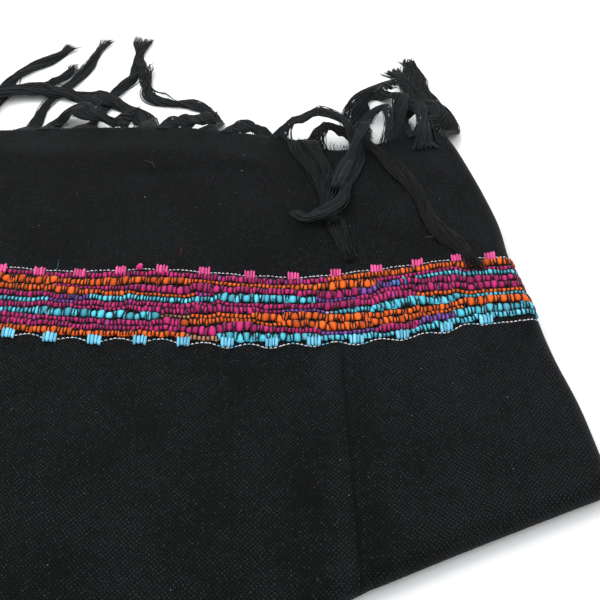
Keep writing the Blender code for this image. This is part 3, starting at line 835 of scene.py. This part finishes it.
def band_sink(x, y):
    """How far the cloth under the slub rows lies below the rest."""
    inside = np.minimum(curve_through(BAND_TOP, x) - y, y - curve_through(BAND_BOTTOM, x))
    return BAND_SINK * smooth_step(inside / BAND_SINK_REACH)


def flat_row(row):
    """One row in space, flat and then round the right fold, and its plan laid flat."""
    x, y = row.T
    flat = np.stack((x, y, top_height(x, y) - band_sink(x, y)), -1)
    angles = ROLL_END * np.arange(1, ROLL_STEPS + 1) / ROLL_STEPS
    outward = right_outward(y[-1])
    round_it = rolled(x[-1], y[-1], outward, angles, -band_sink(x[-1], y[-1]))
    reach = (angles * top_height(x[-1], y[-1]) / 2)[:, None]
    plan = np.concatenate((row, row[-1] + outward * reach))
    return np.concatenate((flat, round_it)), plan


def front_row(row, step):
    """One row of the roll round the front fold, with its share of the rounded corner."""
    x, y = row.T
    angle = ROLL_END * step / ROLL_STEPS
    outward = front_outward(x)
    points = [rolled(x, y, outward, angle)]
    plan = [row + outward * (angle * top_height(x, y) / 2)[:, None]]
    corner = row[-1]
    right_way, front_way = right_outward(corner[1]), front_outward(corner[0])
    from_right = math.atan2(right_way[1], right_way[0])
    from_front = math.atan2(front_way[1], front_way[0])
    for side_step in range(1, ROLL_STEPS + 1):
        if side_step >= step:
            share = 0.5 * step / side_step
        else:
            share = 1.0 - 0.5 * side_step / step
        turn = from_right + (from_front - from_right) * share
        way = np.array((math.cos(turn), math.sin(turn)))
        turned = ROLL_END * max(step, side_step) / ROLL_STEPS
        points.append(rolled(corner[0], corner[1], way, turned)[None])
        plan.append((corner + way * turned * top_height(*corner) / 2)[None])
    return np.concatenate(points), np.concatenate(plan)


def weave_place(plan):
    """Threads counted across and along the cloth at places of its plan."""
    x, y = plan[..., 0], plan[..., 1]
    across = (x - curve_through(CREASE, y)) / WARP_PITCH
    along = (y - curve_through(BAND_BOTTOM, x)) / WEFT_PITCH
    return np.stack((across, along), -1)


def add_weave_map(mesh, places):
    """Give each corner of each face its place in the weave."""
    corners = np.zeros(len(mesh.loops), np.int32)
    mesh.loops.foreach_get("vertex_index", corners)
    layer = mesh.uv_layers.new(name="weave")
    layer.data.foreach_set("uv", places[corners].astype(np.float32).ravel())


def grid_faces(rows, columns, wrap=False):
    """Corners of the faces of a grid, in rows."""
    count = columns if wrap else columns - 1
    row = np.arange(rows - 1)[:, None] * columns
    here = row + np.arange(count)
    after = row + (np.arange(count) + 1) % columns
    return np.stack((here, here + columns, after + columns, after), -1).reshape(-1, 4)


def cloth_top(material):
    """The top layer as a thin shell, from the fringed edge round the front and right folds."""
    back, front = guide_row(BACK_EDGE), guide_row(FRONT_FOLD)
    band_top, band_bottom = guide_row(BAND_TOP), guide_row(BAND_BOTTOM)
    rows = rows_between(back, band_top, ROWS_UPPER)[:-1]
    rows += rows_between(band_top, band_bottom, ROWS_BAND)[:-1]
    rows += rows_between(band_bottom, front, ROWS_LOWER)
    made = [flat_row(row) for row in rows]
    made += [front_row(rows[-1], step) for step in range(1, ROLL_STEPS + 1)]
    points = np.stack([row[0] for row in made])
    plans = np.stack([row[1] for row in made])
    faces = grid_faces(*points.shape[:2])
    mesh = mesh_from("cloth_top", points.reshape(-1, 3), [faces])
    add_weave_map(mesh, weave_place(plans).reshape(-1, 2))
    piece = link_piece("cloth_top", mesh, material)
    thicken = piece.modifiers.new("Shell", "SOLIDIFY")
    thicken.thickness = SHELL
    thicken.offset = -1.0
    thicken.use_even_offset = False
    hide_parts("fringe_end_stretch", "body_stretch")
    return piece


# The slub band


def fullness_at(stretches, x):
    """How full a slub row is along the band."""
    starts = [stretch[0] for stretch in stretches]
    places, values = [], []
    for number, (start, _, full) in enumerate(stretches):
        end = starts[number + 1] if number + 1 < len(starts) else start + 1.0
        places += [start + STRETCH_BLEND, end - STRETCH_BLEND]
        values += [full, full]
    return np.interp(x, places, values)


def dye_at(stretches, x):
    """Dye of a slub row at a place, a little mixed where two dyes meet."""
    place = x + rng.normal(0.0, 0.0012)
    name = stretches[0][1]
    for start, dye, _ in stretches:
        if place >= start:
            name = dye
    colour = np.array(DYES[name])
    if name == "magenta" and rng.random() < 0.04:
        colour = colour * 0.55 + np.array(DYES["purple"]) * 0.45
    if name == "cyan" and rng.random() < 0.18:
        colour = colour * 0.5 + np.array(DYES["light_blue"]) * 0.5
    return colour * rng.uniform(0.50, 1.20)


def band_foot(x):
    """Bare cloth under the last slub row at places along the band."""
    places, margins = np.array(BAND_FOOT).T
    return np.interp(x, places, margins)


def row_edges(x):
    """Y of the edges between slub rows at places along the band."""
    weights = np.stack([fullness_at(stretches, x) for stretches in SLUB_ROWS])
    shares = np.concatenate((np.zeros((1, len(x))), np.cumsum(weights, axis=0)))
    shares /= shares[-1]
    top = curve_through(BAND_TOP, x) - BAND_MARGIN_TOP
    bottom = curve_through(BAND_BOTTOM, x) + band_foot(x)
    return top + (bottom - top) * shares


def bead_ends(stretches, first, last):
    """Places where warps pinch a slub row: one wide bead and a few narrow ones where it is full."""
    x = first
    ends = [x]
    narrow = rng.integers(0, 3)
    while x < last:
        full = fullness_at(stretches, x)
        if full > FULL_ROW and narrow == 0:
            x += rng.uniform(0.0021, 0.0034)
            narrow = rng.integers(0, 4)
        elif full > FULL_ROW:
            x += rng.uniform(0.0009, 0.0015)
            narrow -= 1
        elif full > MIDDLING_ROW:
            x += rng.uniform(0.0010, 0.0018) if rng.random() < 0.88 else 0.0023
        else:
            x += rng.uniform(0.0015, 0.0019)
        ends.append(x)
    return np.array(ends)


def bead_height(size):
    """How high a bead stands in a slub row of a size across."""
    return BEAD_LEAST_HEIGHT + BEAD_RISE * size / 2


def slub_yarns(material):
    """The slub rows: yarns that swell into beads between the warps. Returns the pinches too."""
    tubes = Tubes()
    edges = row_edges(BAND_SAMPLES)
    pinches = []
    for number, stretches in enumerate(SLUB_ROWS):
        middle = (edges[number] + edges[number + 1]) / 2
        height = edges[number] - edges[number + 1]
        first = curve_through(LEFT_EDGE, middle[0]) + BAND_INSET
        fold_x = curve_through(RIGHT_FOLD, np.interp(BAND_FOLD_X, BAND_SAMPLES, middle))
        ends = bead_ends(stretches, first + rng.uniform(0.0, 0.0008), fold_x + BAND_ROLL)
        pinches.append(ends)
        run = []
        slant = rng.uniform(0.15, 0.45) * rng.choice((-1, 1))
        for near, far in zip(ends, ends[1:]):
            if fullness_at(stretches, (near + far) / 2) < LEAST_FULLNESS:
                finish_run(tubes, run)
                run = []
                continue
            size = rng.uniform(0.72, 1.08)
            drift = rng.uniform(-0.09, 0.09)
            dye = dye_at(stretches, (near + far) / 2)
            slim = min((far - near) / BEAD_LENGTH, 1.0)
            for share, swell, shade in BEAD_SHAPE:
                x = near + (far - near) * share
                full = np.interp(x, BAND_SAMPLES, height)
                y = np.interp(x, BAND_SAMPLES, middle) + drift * full * (share > 0)
                wide = full * BEAD_WIDTH * size * (1.0 - 0.62 * (1.0 - swell)) * (0.86 + 0.14 * slim)
                tall = bead_height(full) * swell * (0.70 + 0.30 * slim)
                lean = slant if full < LEANING_SIZE else 0.0
                # The bead's colour is its dye times the painted shade of its shape: dark at the
                # pinches, lighter over the middle.
                run.append((x, y, wide, tall, np.clip(dye * shade, 0.0, 0.92), lean))
        finish_run(tubes, run)
    piece = tubes.piece("slub_yarns", material, "slub_weave")
    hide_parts("slub_band")
    return piece, pinches, edges


def finish_run(tubes, run):
    """Turn the collected places of one slub yarn into a tube."""
    if len(run) < len(BEAD_SHAPE):
        return
    x, y, wide, tall = np.array([place[:4] for place in run]).T
    colour = np.array([place[4] for place in run])
    slant = np.mean([place[5] for place in run])
    points, ups = on_cloth(x, y, 0.45 * tall - BEAD_SUNK)
    wide[[0, -1]] *= 0.3
    tall[[0, -1]] *= 0.3
    tubes.add(points, wide, tall, BEAD_SIDES, ups, colour, slant)


def warp_x(x, y):
    """Where the warp that crosses the middle of the band at x is at another y."""
    middle = (curve_through(BAND_TOP, x) + curve_through(BAND_BOTTOM, x)) / 2
    return x + curve_through(CREASE, y) - curve_through(CREASE, middle)


def band_warps(pinches, edges, material):
    """Black warps that cross the slub rows, over them at their pinches and else below them."""
    tubes = Tubes()
    for start in np.arange(WARPS_FROM, WARPS_TO, WARP_PITCH):
        x, y, lift = [], [], []
        jitter = rng.normal(0.0, 0.00012)
        for number in range(len(SLUB_ROWS)):
            top = np.interp(start, BAND_SAMPLES, edges[number])
            bottom = np.interp(start, BAND_SAMPLES, edges[number + 1])
            size = top - bottom
            if size < LEAST_SIZE:
                continue
            middle = (top + bottom) / 2
            here = warp_x(start, middle) + jitter
            nearest = pinches[number][np.argmin(np.abs(pinches[number] - here))]
            over = abs(nearest - here) < PINCH_REACH * WARP_PITCH
            spot = nearest * 0.90 + here * 0.10 if over else here
            crown = bead_height(size) * WARP_CROWN if over else -WARP_UNDER
            lean = rng.normal(0.0, 0.10) * size
            for share, rise in ((-0.34, 0.78), (0.0, 1.0), (0.34, 0.78)):
                x.append(spot + share * lean)
                y.append(middle - share * size)
                lift.append(crown * rise if over else crown)
            if number < len(SLUB_ROWS) - 1:
                x.append(warp_x(start, bottom) * 0.6 + spot * 0.4)
                y.append(bottom)
                lift.append(-WARP_BETWEEN)
        points, ups = on_cloth(x, y, np.array(lift))
        radius = WARP_RADIUS * rng.uniform(0.85, 1.2)
        tubes.add(points, radius, radius, 4, ups, np.array(DYES["black"]) * rng.uniform(0.4, 1.1))
    return tubes.piece("band_warps", material, "charcoal_weave")


def edge_threads(material):
    """A thin pale thread along each edge of the band, seen as one dash between each two warps."""
    tubes = Tubes()
    # Columns: edge, offset, share of the bare foot, dip at the tufts, tufts, dyes
    rows = (
        (BAND_TOP, 0.0007, 0.0, -0.0010, PINK_TUFTS, ("white", "pale", "white")),
        (BAND_BOTTOM, -0.0006, 1.0, -0.0024, BLUE_TUFTS, ("white", "white", "light_blue")),
    )
    share = np.linspace(-1.0, 1.0, len(DASH_SHAPE))
    for table, offset, foot, dip, tufts, dyes in rows:
        for start in np.arange(WARPS_FROM, DASHES_TO, 2 * WARP_PITCH):
            length = rng.uniform(0.0011, 0.00145)
            x = start + length * share / 2 + rng.normal(0.0, DASH_STRAY)
            y = curve_through(table, x) + offset + foot * band_foot(x) + dip * scallop(x, tufts)
            points, ups = on_cloth(x, y + rng.normal(0.0, DASH_STRAY), 0.00022 - 0.0004 * share**2)
            name = dyes[int(rng.random() ** 1.6 * len(dyes))]
            radius = DASH_RADIUS * np.array(DASH_SHAPE)
            tubes.add(points, radius, radius, 6, ups, DYES[name])
    for name, shade, size, route in LOOSE_YARNS:
        stops = np.array(route)
        at = np.linspace(0, len(stops) - 1, 4 * len(stops))
        x, y = (np.interp(at, np.arange(len(stops)), column) for column in stops.T)
        points, ups = on_cloth(x, y, 0.9 * size)
        radius = size * np.sqrt(np.clip(1.05 - np.linspace(-1, 1, len(at)) ** 2, 0.0, 1.0))
        tubes.add(points, radius, radius, 6, ups, np.clip(np.array(DYES[name]) * shade, 0.0, 0.9))
    return tubes.piece("edge_threads", material, "slub_weave")


def edge_tufts(material):
    """Small tufts of upright floats: pink along the top edge, light blue along the bottom."""
    tubes = Tubes()
    # Columns: edge, column of its shift, tufts, dye, height, width
    rows = (
        (BAND_TOP, 1, PINK_TUFTS, "pink", 0.0045, 0.0047),
        (BAND_BOTTOM, 2, BLUE_TUFTS, "light_blue", 0.0047, 0.0054),
    )
    shifts = np.array(TUFT_SHIFT).T
    swell = np.array(TUFT_SHAPE)
    share = np.linspace(-0.5, 0.5, len(swell))
    for table, column, tufts, dye, tall, width in rows:
        for centre in tufts[1:]:
            offset = np.interp(centre, shifts[0], shifts[column])
            ends = np.concatenate(((0.0,), np.cumsum(rng.uniform(0.7, 1.3, TUFT_BARS))))
            ends = (ends / ends[-1] - 0.5) * width * rng.uniform(0.92, 1.06)
            for near, far in zip(ends, ends[1:]):
                length = tall * rng.uniform(0.80, 1.06)
                lean = rng.normal(0.0, 0.02)
                x = centre + (near + far) / 2 * (1.0 + 0.06 * share) + lean * share * length
                y = curve_through(table, x) + offset + share * length + rng.normal(0.0, 0.00022)
                points, ups = on_cloth(x, y, TUFT_LIFT + TUFT_LIFT * (1 - (2 * share) ** 2))
                wide = (far - near) / 2 * rng.uniform(0.80, 1.0) * swell
                colour = np.array(DYES[dye]) * rng.uniform(0.62, 1.12)
                tubes.add(points, wide, TUFT_HEIGHT * swell, 8, ups, np.clip(colour, 0.0, 0.95))
    return tubes.piece("edge_tufts", material, "slub_weave")


# The layers inside the folds


def lobe_profile(beyond, wobble):
    """Side of the hidden layers at an open edge. Columns: reach, height"""
    profile = [(-LOBE_DEPTH, 0.0)]
    for lobe in range(LOBES):
        low = LOBE_TOP * lobe / LOBES
        high = LOBE_TOP * (lobe + 1) / LOBES
        profile.append((wobble[lobe], (low + high) / 2))
        profile.append((-LOBE_DEPTH + wobble[lobe] / 2, high))
    profile.append((-CAP_INSET - max(beyond, 0.0), LAYER_CAP))
    return profile


def fold_profile(height):
    """Side of the hidden layers inside a fold. Columns: reach, height"""
    half = height / 2
    radius = half - CLOTH - LAYER_CLEAR
    arcs = 2 * LOBES - 1
    profile = [(FOOT_INSET, 0.0)]
    for step in range(arcs + 1):
        angle = ROLL_END * (1.0 - step / arcs)
        profile.append((radius * math.sin(angle), half + radius * math.cos(angle)))
    profile.append((-FOLD_CAP_INSET, LAYER_CAP))
    return profile


def layer_wobble(place):
    """How far each hidden layer stands out or in at a place along an open edge."""
    lobes = np.arange(LOBES)
    slow = np.sin(place / 0.021 + 2.1 * lobes) * 0.00045
    fast = np.sin(place / 0.0083 + 3.7 * lobes) * 0.00022
    return slow + fast - 0.0003


def layer_stack(material):
    """The hidden layers as one rounded solid that shows its folds at the open edges."""
    back, front = guide_row(BACK_EDGE), guide_row(FRONT_FOLD)
    corner = front[-1]
    stations = []

    def open_edge(x, y, way, beyond, wobble_place):
        stations.append(((x, y), way, lobe_profile(beyond, layer_wobble(wobble_place))))

    def fold(point, way, height_at):
        stations.append((point, way, fold_profile(top_height(*height_at))))

    for x in np.linspace(BACK_SIDE_FROM, back[-1, 0] - BACK_SIDE_SHORT, 110):
        reach = curve_through(LAYER_REACH, x)
        open_edge(x, curve_through(BACK_EDGE, x) - GAP + reach, (0.0, 1.0), reach, x)
    for y in np.linspace(back[-1, 1] - RIGHT_SIDE_SHORT, corner[1] + RIGHT_FRONT_SHORT, 40):
        point = (curve_through(RIGHT_FOLD, y), y)
        fold(point, right_outward(y), point)
    middle = right_outward(corner[1]) + front_outward(corner[0])
    fold(corner - middle * GAP, unit_rows(middle), corner)
    for x in np.linspace(corner[0] - RIGHT_FRONT_SHORT, front[0, 0] + FRONT_SIDE_SHORT, 60):
        point = (x, curve_through(FRONT_FOLD, x))
        fold(point, front_outward(x), point)
    for y in np.linspace(front[0, 1] + LEFT_SIDE_SHORT, LEFT_SIDE_TO, 90):
        open_edge(curve_through(LEFT_EDGE, y) + GAP, y, (-1.0, 0.0), 0.0, y + 1)
    corner_x = curve_through(LEFT_EDGE, BACK_CORNER_Y) + GAP
    open_edge(corner_x, BACK_CORNER_Y, (-math.sqrt(0.5), math.sqrt(0.5)), 0.0, 0.5)
    points = np.array([
        [(x + way[0] * profile[level][0], y + way[1] * profile[level][0], profile[level][1])
         for (x, y), way, profile in stations]
        for level in range(2 * LOBES + 2)
    ])
    levels, count = points.shape[:2]
    steps = np.linalg.norm(np.diff(points[1], axis=0, append=points[1][:1]), axis=1)
    along = np.cumsum(steps) / WARP_PITCH
    places = [np.stack((along, np.full(count, level * 1.5)), -1) for level in range(levels)]
    ring = np.arange(count)
    caps = np.stack((ring, (levels - 1) * count + ring[::-1]))
    faces = [grid_faces(levels, count, wrap=True), caps]
    mesh = mesh_from("layer_stack", points.reshape(-1, 3), faces)
    add_weave_map(mesh, np.concatenate(places))
    piece = link_piece("layer_stack", mesh, material)
    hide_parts("folded_layers")
    return piece


# The fringe


def walk(x, y, heading, bends, length):
    """Plan of a tassel: points at equal steps, turned smoothly by each bend in its share."""
    steps = max(int(round(length / LAY_STEP)), 4)
    share = (np.arange(steps) + 0.5) / steps * len(bends)
    turned = sum(bend * np.clip(share - i, 0.0, 1.0) for i, bend in enumerate(bends))
    angle = np.radians(heading + turned)
    moves = np.stack((np.cos(angle), np.sin(angle)), -1) * length / steps
    return np.concatenate(((np.array((x, y)),), np.array((x, y)) + np.cumsum(moves, axis=0)))


def ground(x, y):
    """Highest level of what a tassel can lie on at a place: floor, layers, cloth or band."""
    edge = curve_through(BACK_EDGE, x) + EDGE_MARGIN
    reach = np.maximum(curve_through(LAYER_REACH, x), 0.0)
    behind = np.where(y < edge + reach + STRAND_PITCH, LOBE_TOP, 0.0)
    level = top_height(x, y)
    on_band = (curve_through(BAND_BOTTOM, x) < y) & (y < curve_through(BAND_TOP, x) + STRAND_PITCH)
    level = level + BAND_RISE * on_band
    beside = x > curve_through(RIGHT_FOLD, y) + STACK_HEIGHT / 2 + STRAND_PITCH
    return np.where(beside, 0.0, np.where(y > edge, behind, level))


def lie(plan, half_width, laid, start_level):
    """Heights at which a tassel lies on the ground and on the tassels laid before it."""
    after = plan[np.minimum(np.arange(len(plan)) + 1, len(plan) - 1)]
    before = plan[np.maximum(np.arange(len(plan)) - 1, 0)]
    side = unit_rows(np.stack((before[:, 1] - after[:, 1], after[:, 0] - before[:, 0]), -1))
    levels = []
    for k in (-1, -0.5, 0, 0.5, 1):
        spots = plan + side * half_width * k
        levels.append(ground(spots[:, 0], spots[:, 1]))
    needed = np.max(levels, axis=0) + STRAND_RADIUS + FLOOR_CLEAR
    if laid:
        others = np.concatenate(laid)
        apart = np.linalg.norm(plan[:, None] - others[None, :, :2], axis=2)
        near = apart < half_width + others[None, :, 3] + LAY_STEP
        over = np.where(near, others[None, :, 2] + 2 * STRAND_RADIUS + CROSS_CLEAR, 0.0)
        needed = np.maximum(needed, over.max(axis=1))
    needed[0] = max(needed[0], start_level) if start_level > STACK_HEIGHT else start_level
    steps = np.abs(np.arange(len(plan))[:, None] - np.arange(len(plan))[None, :])
    return (needed[None, :] - LIE_SLOPE * LAY_STEP * steps).max(axis=1)


def stations_of(plan, levels, length):
    """The tassel's own segments, kept above what it lies on."""
    count = max(int(round(length / SEGMENT)), 3)
    places = np.linspace(0, len(plan) - 1, count + 1)
    window = (len(plan) - 1) / count
    points = []
    for place in places:
        low = max(int(math.floor(place - window)), 0)
        high = min(int(math.ceil(place + window)), len(plan) - 1)
        level = levels[low:high + 1].max() if place > 0 else levels[0]
        x = np.interp(place, np.arange(len(plan)), plan[:, 0])
        y = np.interp(place, np.arange(len(plan)), plan[:, 1])
        points.append((x, y, level))
    return np.array(points)


def laid_points(stations, half_width, count):
    """Where a laid tassel is, for those that cross it."""
    dense = np.linspace(0, len(stations) - 1, count)
    columns = [np.interp(dense, np.arange(len(stations)), stations[:, i]) for i in range(3)]
    return np.stack(columns + [np.full(count, half_width)], -1)


def tassel_routes(row, laid):
    """Plan, heights and half width of one tassel, whose place is kept for those over it."""
    x, exit_side, heading, bends, length, spread = row[1:7]
    upwards = exit_side == "top"
    aside = np.array((-HEAD_CLEAR_WIDTH / 2, 0.0, HEAD_CLEAR_WIDTH / 2))
    head_y = curve_through(BACK_EDGE, x + aside).max() + GAP + HEAD_DEPTH / 2
    edge_y = curve_through(BACK_EDGE, x)
    head_level = top_height(x, edge_y, finer=False) - HEAD_HEIGHT / 2
    start_y = head_y if upwards else head_y + HEAD_DEPTH / 2
    start_level = STACK_HEIGHT + TOP_EXIT_RISE if upwards else head_level
    plan = walk(x, start_y, heading, bends, length)
    half_width = STRAND_PITCH * spread * (STRANDS - 1) / 2 + STRAND_RADIUS
    levels = lie(plan, half_width, laid, start_level)
    stations = stations_of(plan, levels, length)
    if upwards:
        first = np.array((x, start_y, head_level + HEAD_HEIGHT / 2))
        stations = np.concatenate((first[None], stations))
    laid.append(laid_points(stations, half_width, len(plan) * 2))
    return plan, levels, half_width


def waves(s, amplitude, longest):
    """A smooth random wander along a yarn."""
    total = np.zeros_like(s)
    for part in (1.0, 0.47, 0.23):
        phase = rng.uniform(0, 2 * np.pi)
        total += part * np.sin(2 * np.pi * s / (longest * part) + phase)
    return amplitude * total / 1.2


def yarn_route(plan, levels, half_width, length, turns, strand, loose):
    """One fine yarn of a tassel's two strands, along the bundle to its frayed tip."""
    step = length / (len(plan) - 1)
    stop = length * (1.0 - TIP_SHARE * rng.random() ** 2.5)
    s = np.linspace(0.0, stop, YARN_POINTS)
    at = s / step
    index = np.arange(len(plan))
    ways = unit_rows(np.gradient(plan, axis=0))
    columns = (plan[:, 0], plan[:, 1], levels, ways[:, 0], ways[:, 1])
    x, y, z, way_x, way_y = (np.interp(at, index, column) for column in columns)
    share = s / length
    size = 1.0 + 0.12 * np.sin(7.0 * share * len(plan) / 20 + plan[0, 0] * 300)
    fray = 1.0 + TIP_FRAY * np.clip((share - 1.0 + TIP_SHARE) / TIP_SHARE, 0.0, 1.0) ** 2
    radius = math.sqrt(rng.random())
    sweep = 2 * np.pi * (turns * share + strand / 2 + plan[0, 0] * 90)
    turn = rng.uniform(0, 2 * np.pi) + 2 * np.pi * turns * share
    aside = STRAND_APART * np.cos(sweep) + STRAND_FILL * radius * np.cos(turn)
    aside = aside * half_width * size * fray
    rise = (STRAND_APART * np.sin(sweep) + STRAND_FILL * radius * np.sin(turn)) * BUNDLE_HEIGHT
    if loose:
        middle = rng.uniform(0.3, 0.8)
        bulge = np.exp(-((share - middle) / 0.16) ** 2)
        aside = aside + rng.choice((-1, 1)) * rng.uniform(0.4, 1.2) * half_width * bulge
        aside = aside + rng.normal(0.0, 0.9) * half_width * np.clip((share - 0.7) / 0.3, 0, 1) ** 2
    aside = aside + waves(s, 0.00028, 0.034)
    rise = rise + waves(s, 0.00016, 0.022)
    return x - way_y * aside, y + way_x * aside, z + rise, s


def tassel(row, laid, material):
    """One tassel of many fine yarns, drawn together from a stretch of the cloth's edge."""
    name, root_x, length = row[0], row[1], row[5]
    turns, paleness_and_sheen, fill, count = row[7:]
    plan, levels, half_width = tassel_routes(row, laid)
    tubes = Tubes()
    long = length > SHORT_TASSEL
    reach, root_half = LONG_ROOT if long else SHORT_ROOT
    for number in range(count):
        loose = long and number >= count - LOOSE_IN_TASSEL
        width = half_width * fill
        x, y, z, s = yarn_route(plan, levels, width, length, turns, number % 2, loose)
        edge_x = root_x + rng.uniform(-1, 1) * root_half
        edge_y = curve_through(BACK_EDGE, edge_x) - ROOT_INSET
        edge_z = top_height(edge_x, edge_y) - ROOT_SUNK
        start = smooth_step(s / reach)
        x = edge_x + (x - edge_x) * start
        y = edge_y + (y - edge_y) * start
        z = edge_z + (z - edge_z) * start
        inside = y < curve_through(BACK_EDGE, x) - 0.0004
        floor = np.where(inside, ground(x, y), 0.0) + YARN_RADIUS + 0.00005
        z = np.where(s > 0, np.maximum(z, floor), z)
        radii = np.full(len(s), YARN_RADIUS * rng.uniform(0.8, 1.2) * np.clip(fill, 1.0, 1.5))
        radii[-1] *= 0.4
        # A tassel's whole colour is scaled by its paleness, partly painted sheen on bundles that catch
        # the light.
        colour = np.array(DYES["black"]) * rng.uniform(0.45, 1.4) * paleness_and_sheen
        tubes.add(np.stack((x, y, z), -1), radii, radii, 4, UP, colour)
    piece = tubes.piece(name + "_yarns", material, "fringe_yarn")
    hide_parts(name)
    return piece


def edge_fray(material):
    """Short loose yarn ends along the fringed edge, longer where the edge dips."""
    tubes = Tubes()
    share = np.linspace(0.0, 1.0, 6)
    radius = FRAY_RADIUS * np.array((1, 1, 1, 1, 0.9, 0.4))
    for x in np.arange(FRAY_FROM, FRAY_TO, FRAY_PITCH):
        dip = math.exp(-((x - DIP_X) / DIP_WIDTH) ** 2)
        if rng.random() > 0.45 + 0.5 * dip:
            continue
        length = rng.uniform(0.0006, 0.0024) + dip * rng.uniform(0.002, 0.0042)
        start_x = x + rng.normal(0.0, 0.0002)
        start_y = curve_through(BACK_EDGE, start_x) - FRAY_INSET
        lean = rng.normal(0.0, 0.45 if dip < 0.5 else 0.15)
        level = top_height(start_x, start_y) - ROOT_SUNK
        end_x = start_x + lean * length * share**1.5
        end_y = start_y + length * share
        end_z = level + rng.uniform(-0.35, 0.30) * length * share**1.6
        colour = np.array(DYES["black"]) * rng.uniform(0.6, 1.8)
        tubes.add(np.stack((end_x, end_y, end_z), -1), radius, radius, 4, UP, colour)
    return tubes.piece("edge_fray", material, "fringe_yarn")


def lint(material):
    """Tiny pale specks of lint on the dark cloth."""
    tubes = Tubes()
    share = np.linspace(-0.5, 0.5, 4)
    for _ in range(LINT_SPECKS):
        x = rng.uniform(-0.138, 0.120)
        y = rng.uniform(-0.120, 0.160)
        in_band = curve_through(BAND_BOTTOM, x) - 0.003 < y < curve_through(BAND_TOP, x) + 0.006
        if y < curve_through(FRONT_FOLD, x) + 0.004 or in_band:
            continue
        turn = rng.uniform(0, np.pi)
        length = rng.uniform(0.0002, 0.0007) * (2.4 if rng.random() < 0.1 else 1.0)
        speck_x = x + math.cos(turn) * length * share
        speck_y = y + math.sin(turn) * length * share + 0.15 * length * share**2
        points, ups = on_cloth(speck_x, speck_y, 0.00008)
        radius = rng.uniform(0.00005, 0.00010) * np.array((0.6, 1, 1, 0.6))
        tubes.add(points, radius, radius, 4, ups, np.array(LINT_COLOUR) * rng.uniform(0.4, 1.0))
    return tubes.piece("lint", material, "charcoal_weave")


# Studio


def studio():
    """White floor, even soft light and the camera."""
    world = bpy.data.worlds.new("studio")
    world.use_nodes = True
    background = world.node_tree.nodes["Background"]
    background.inputs[0].default_value = SKY_COLOUR
    background.inputs[1].default_value = SKY_LIGHT
    bpy.context.scene.world = world
    bpy.ops.mesh.primitive_plane_add(size=2 * FLOOR_HALF, location=(0, 0, -FLOOR_DROP))
    floor = bpy.context.object
    floor.name = "floor"
    nodes = Nodes("white_surface")
    nodes.shader.inputs["Base Color"].default_value = FLOOR_COLOUR
    nodes.shader.inputs["Roughness"].default_value = 0.6
    floor.data.materials.append(nodes.material)
    for name, place, size, power in LAMPS:
        lamp = bpy.data.lights.new(name, "AREA")
        lamp.size = size
        lamp.energy = power
        made = bpy.data.objects.new(name, lamp)
        made.location = place
        aim = LAMPS_AIM - made.location
        made.rotation_euler = aim.to_track_quat("-Z", "Y").to_euler()
        bpy.context.scene.collection.objects.link(made)
    camera = bpy.data.cameras.new("camera")
    camera.lens = LENS
    camera.sensor_width = SENSOR
    camera.clip_start = 0.01
    seat = bpy.data.objects.new("camera", camera)
    back = VIEW_DISTANCE * math.cos(VIEW_TILT)
    seat.location = VIEW_CENTRE + Vector((0.0, -back, VIEW_DISTANCE * math.sin(VIEW_TILT)))
    seat.rotation_euler = (math.pi / 2 - VIEW_TILT, 0.0, 0.0)
    bpy.context.scene.collection.objects.link(seat)
    bpy.context.scene.camera = seat
    bpy.context.scene.view_settings.view_transform = "Standard"


def main():
    studio()
    weave = weave_material("charcoal_weave_look")
    slub = yarn_material("slub_yarn_look", 0.80, 2600.0, 0.00012, 0.08)
    fringe = yarn_material("fringe_yarn_look", 0.55, 3000.0, 0.00006, 0.06)
    top = cloth_top(weave)
    stack = layer_stack(weave)
    yarns, pinches, edges = slub_yarns(slub)
    pieces = [yarns, band_warps(pinches, edges, fringe)]
    pieces += [edge_threads(slub), edge_tufts(slub), edge_fray(fringe), lint(fringe)]
    laid = []
    pieces += [tassel(row, laid, fringe) for row in TASSELS]


main()
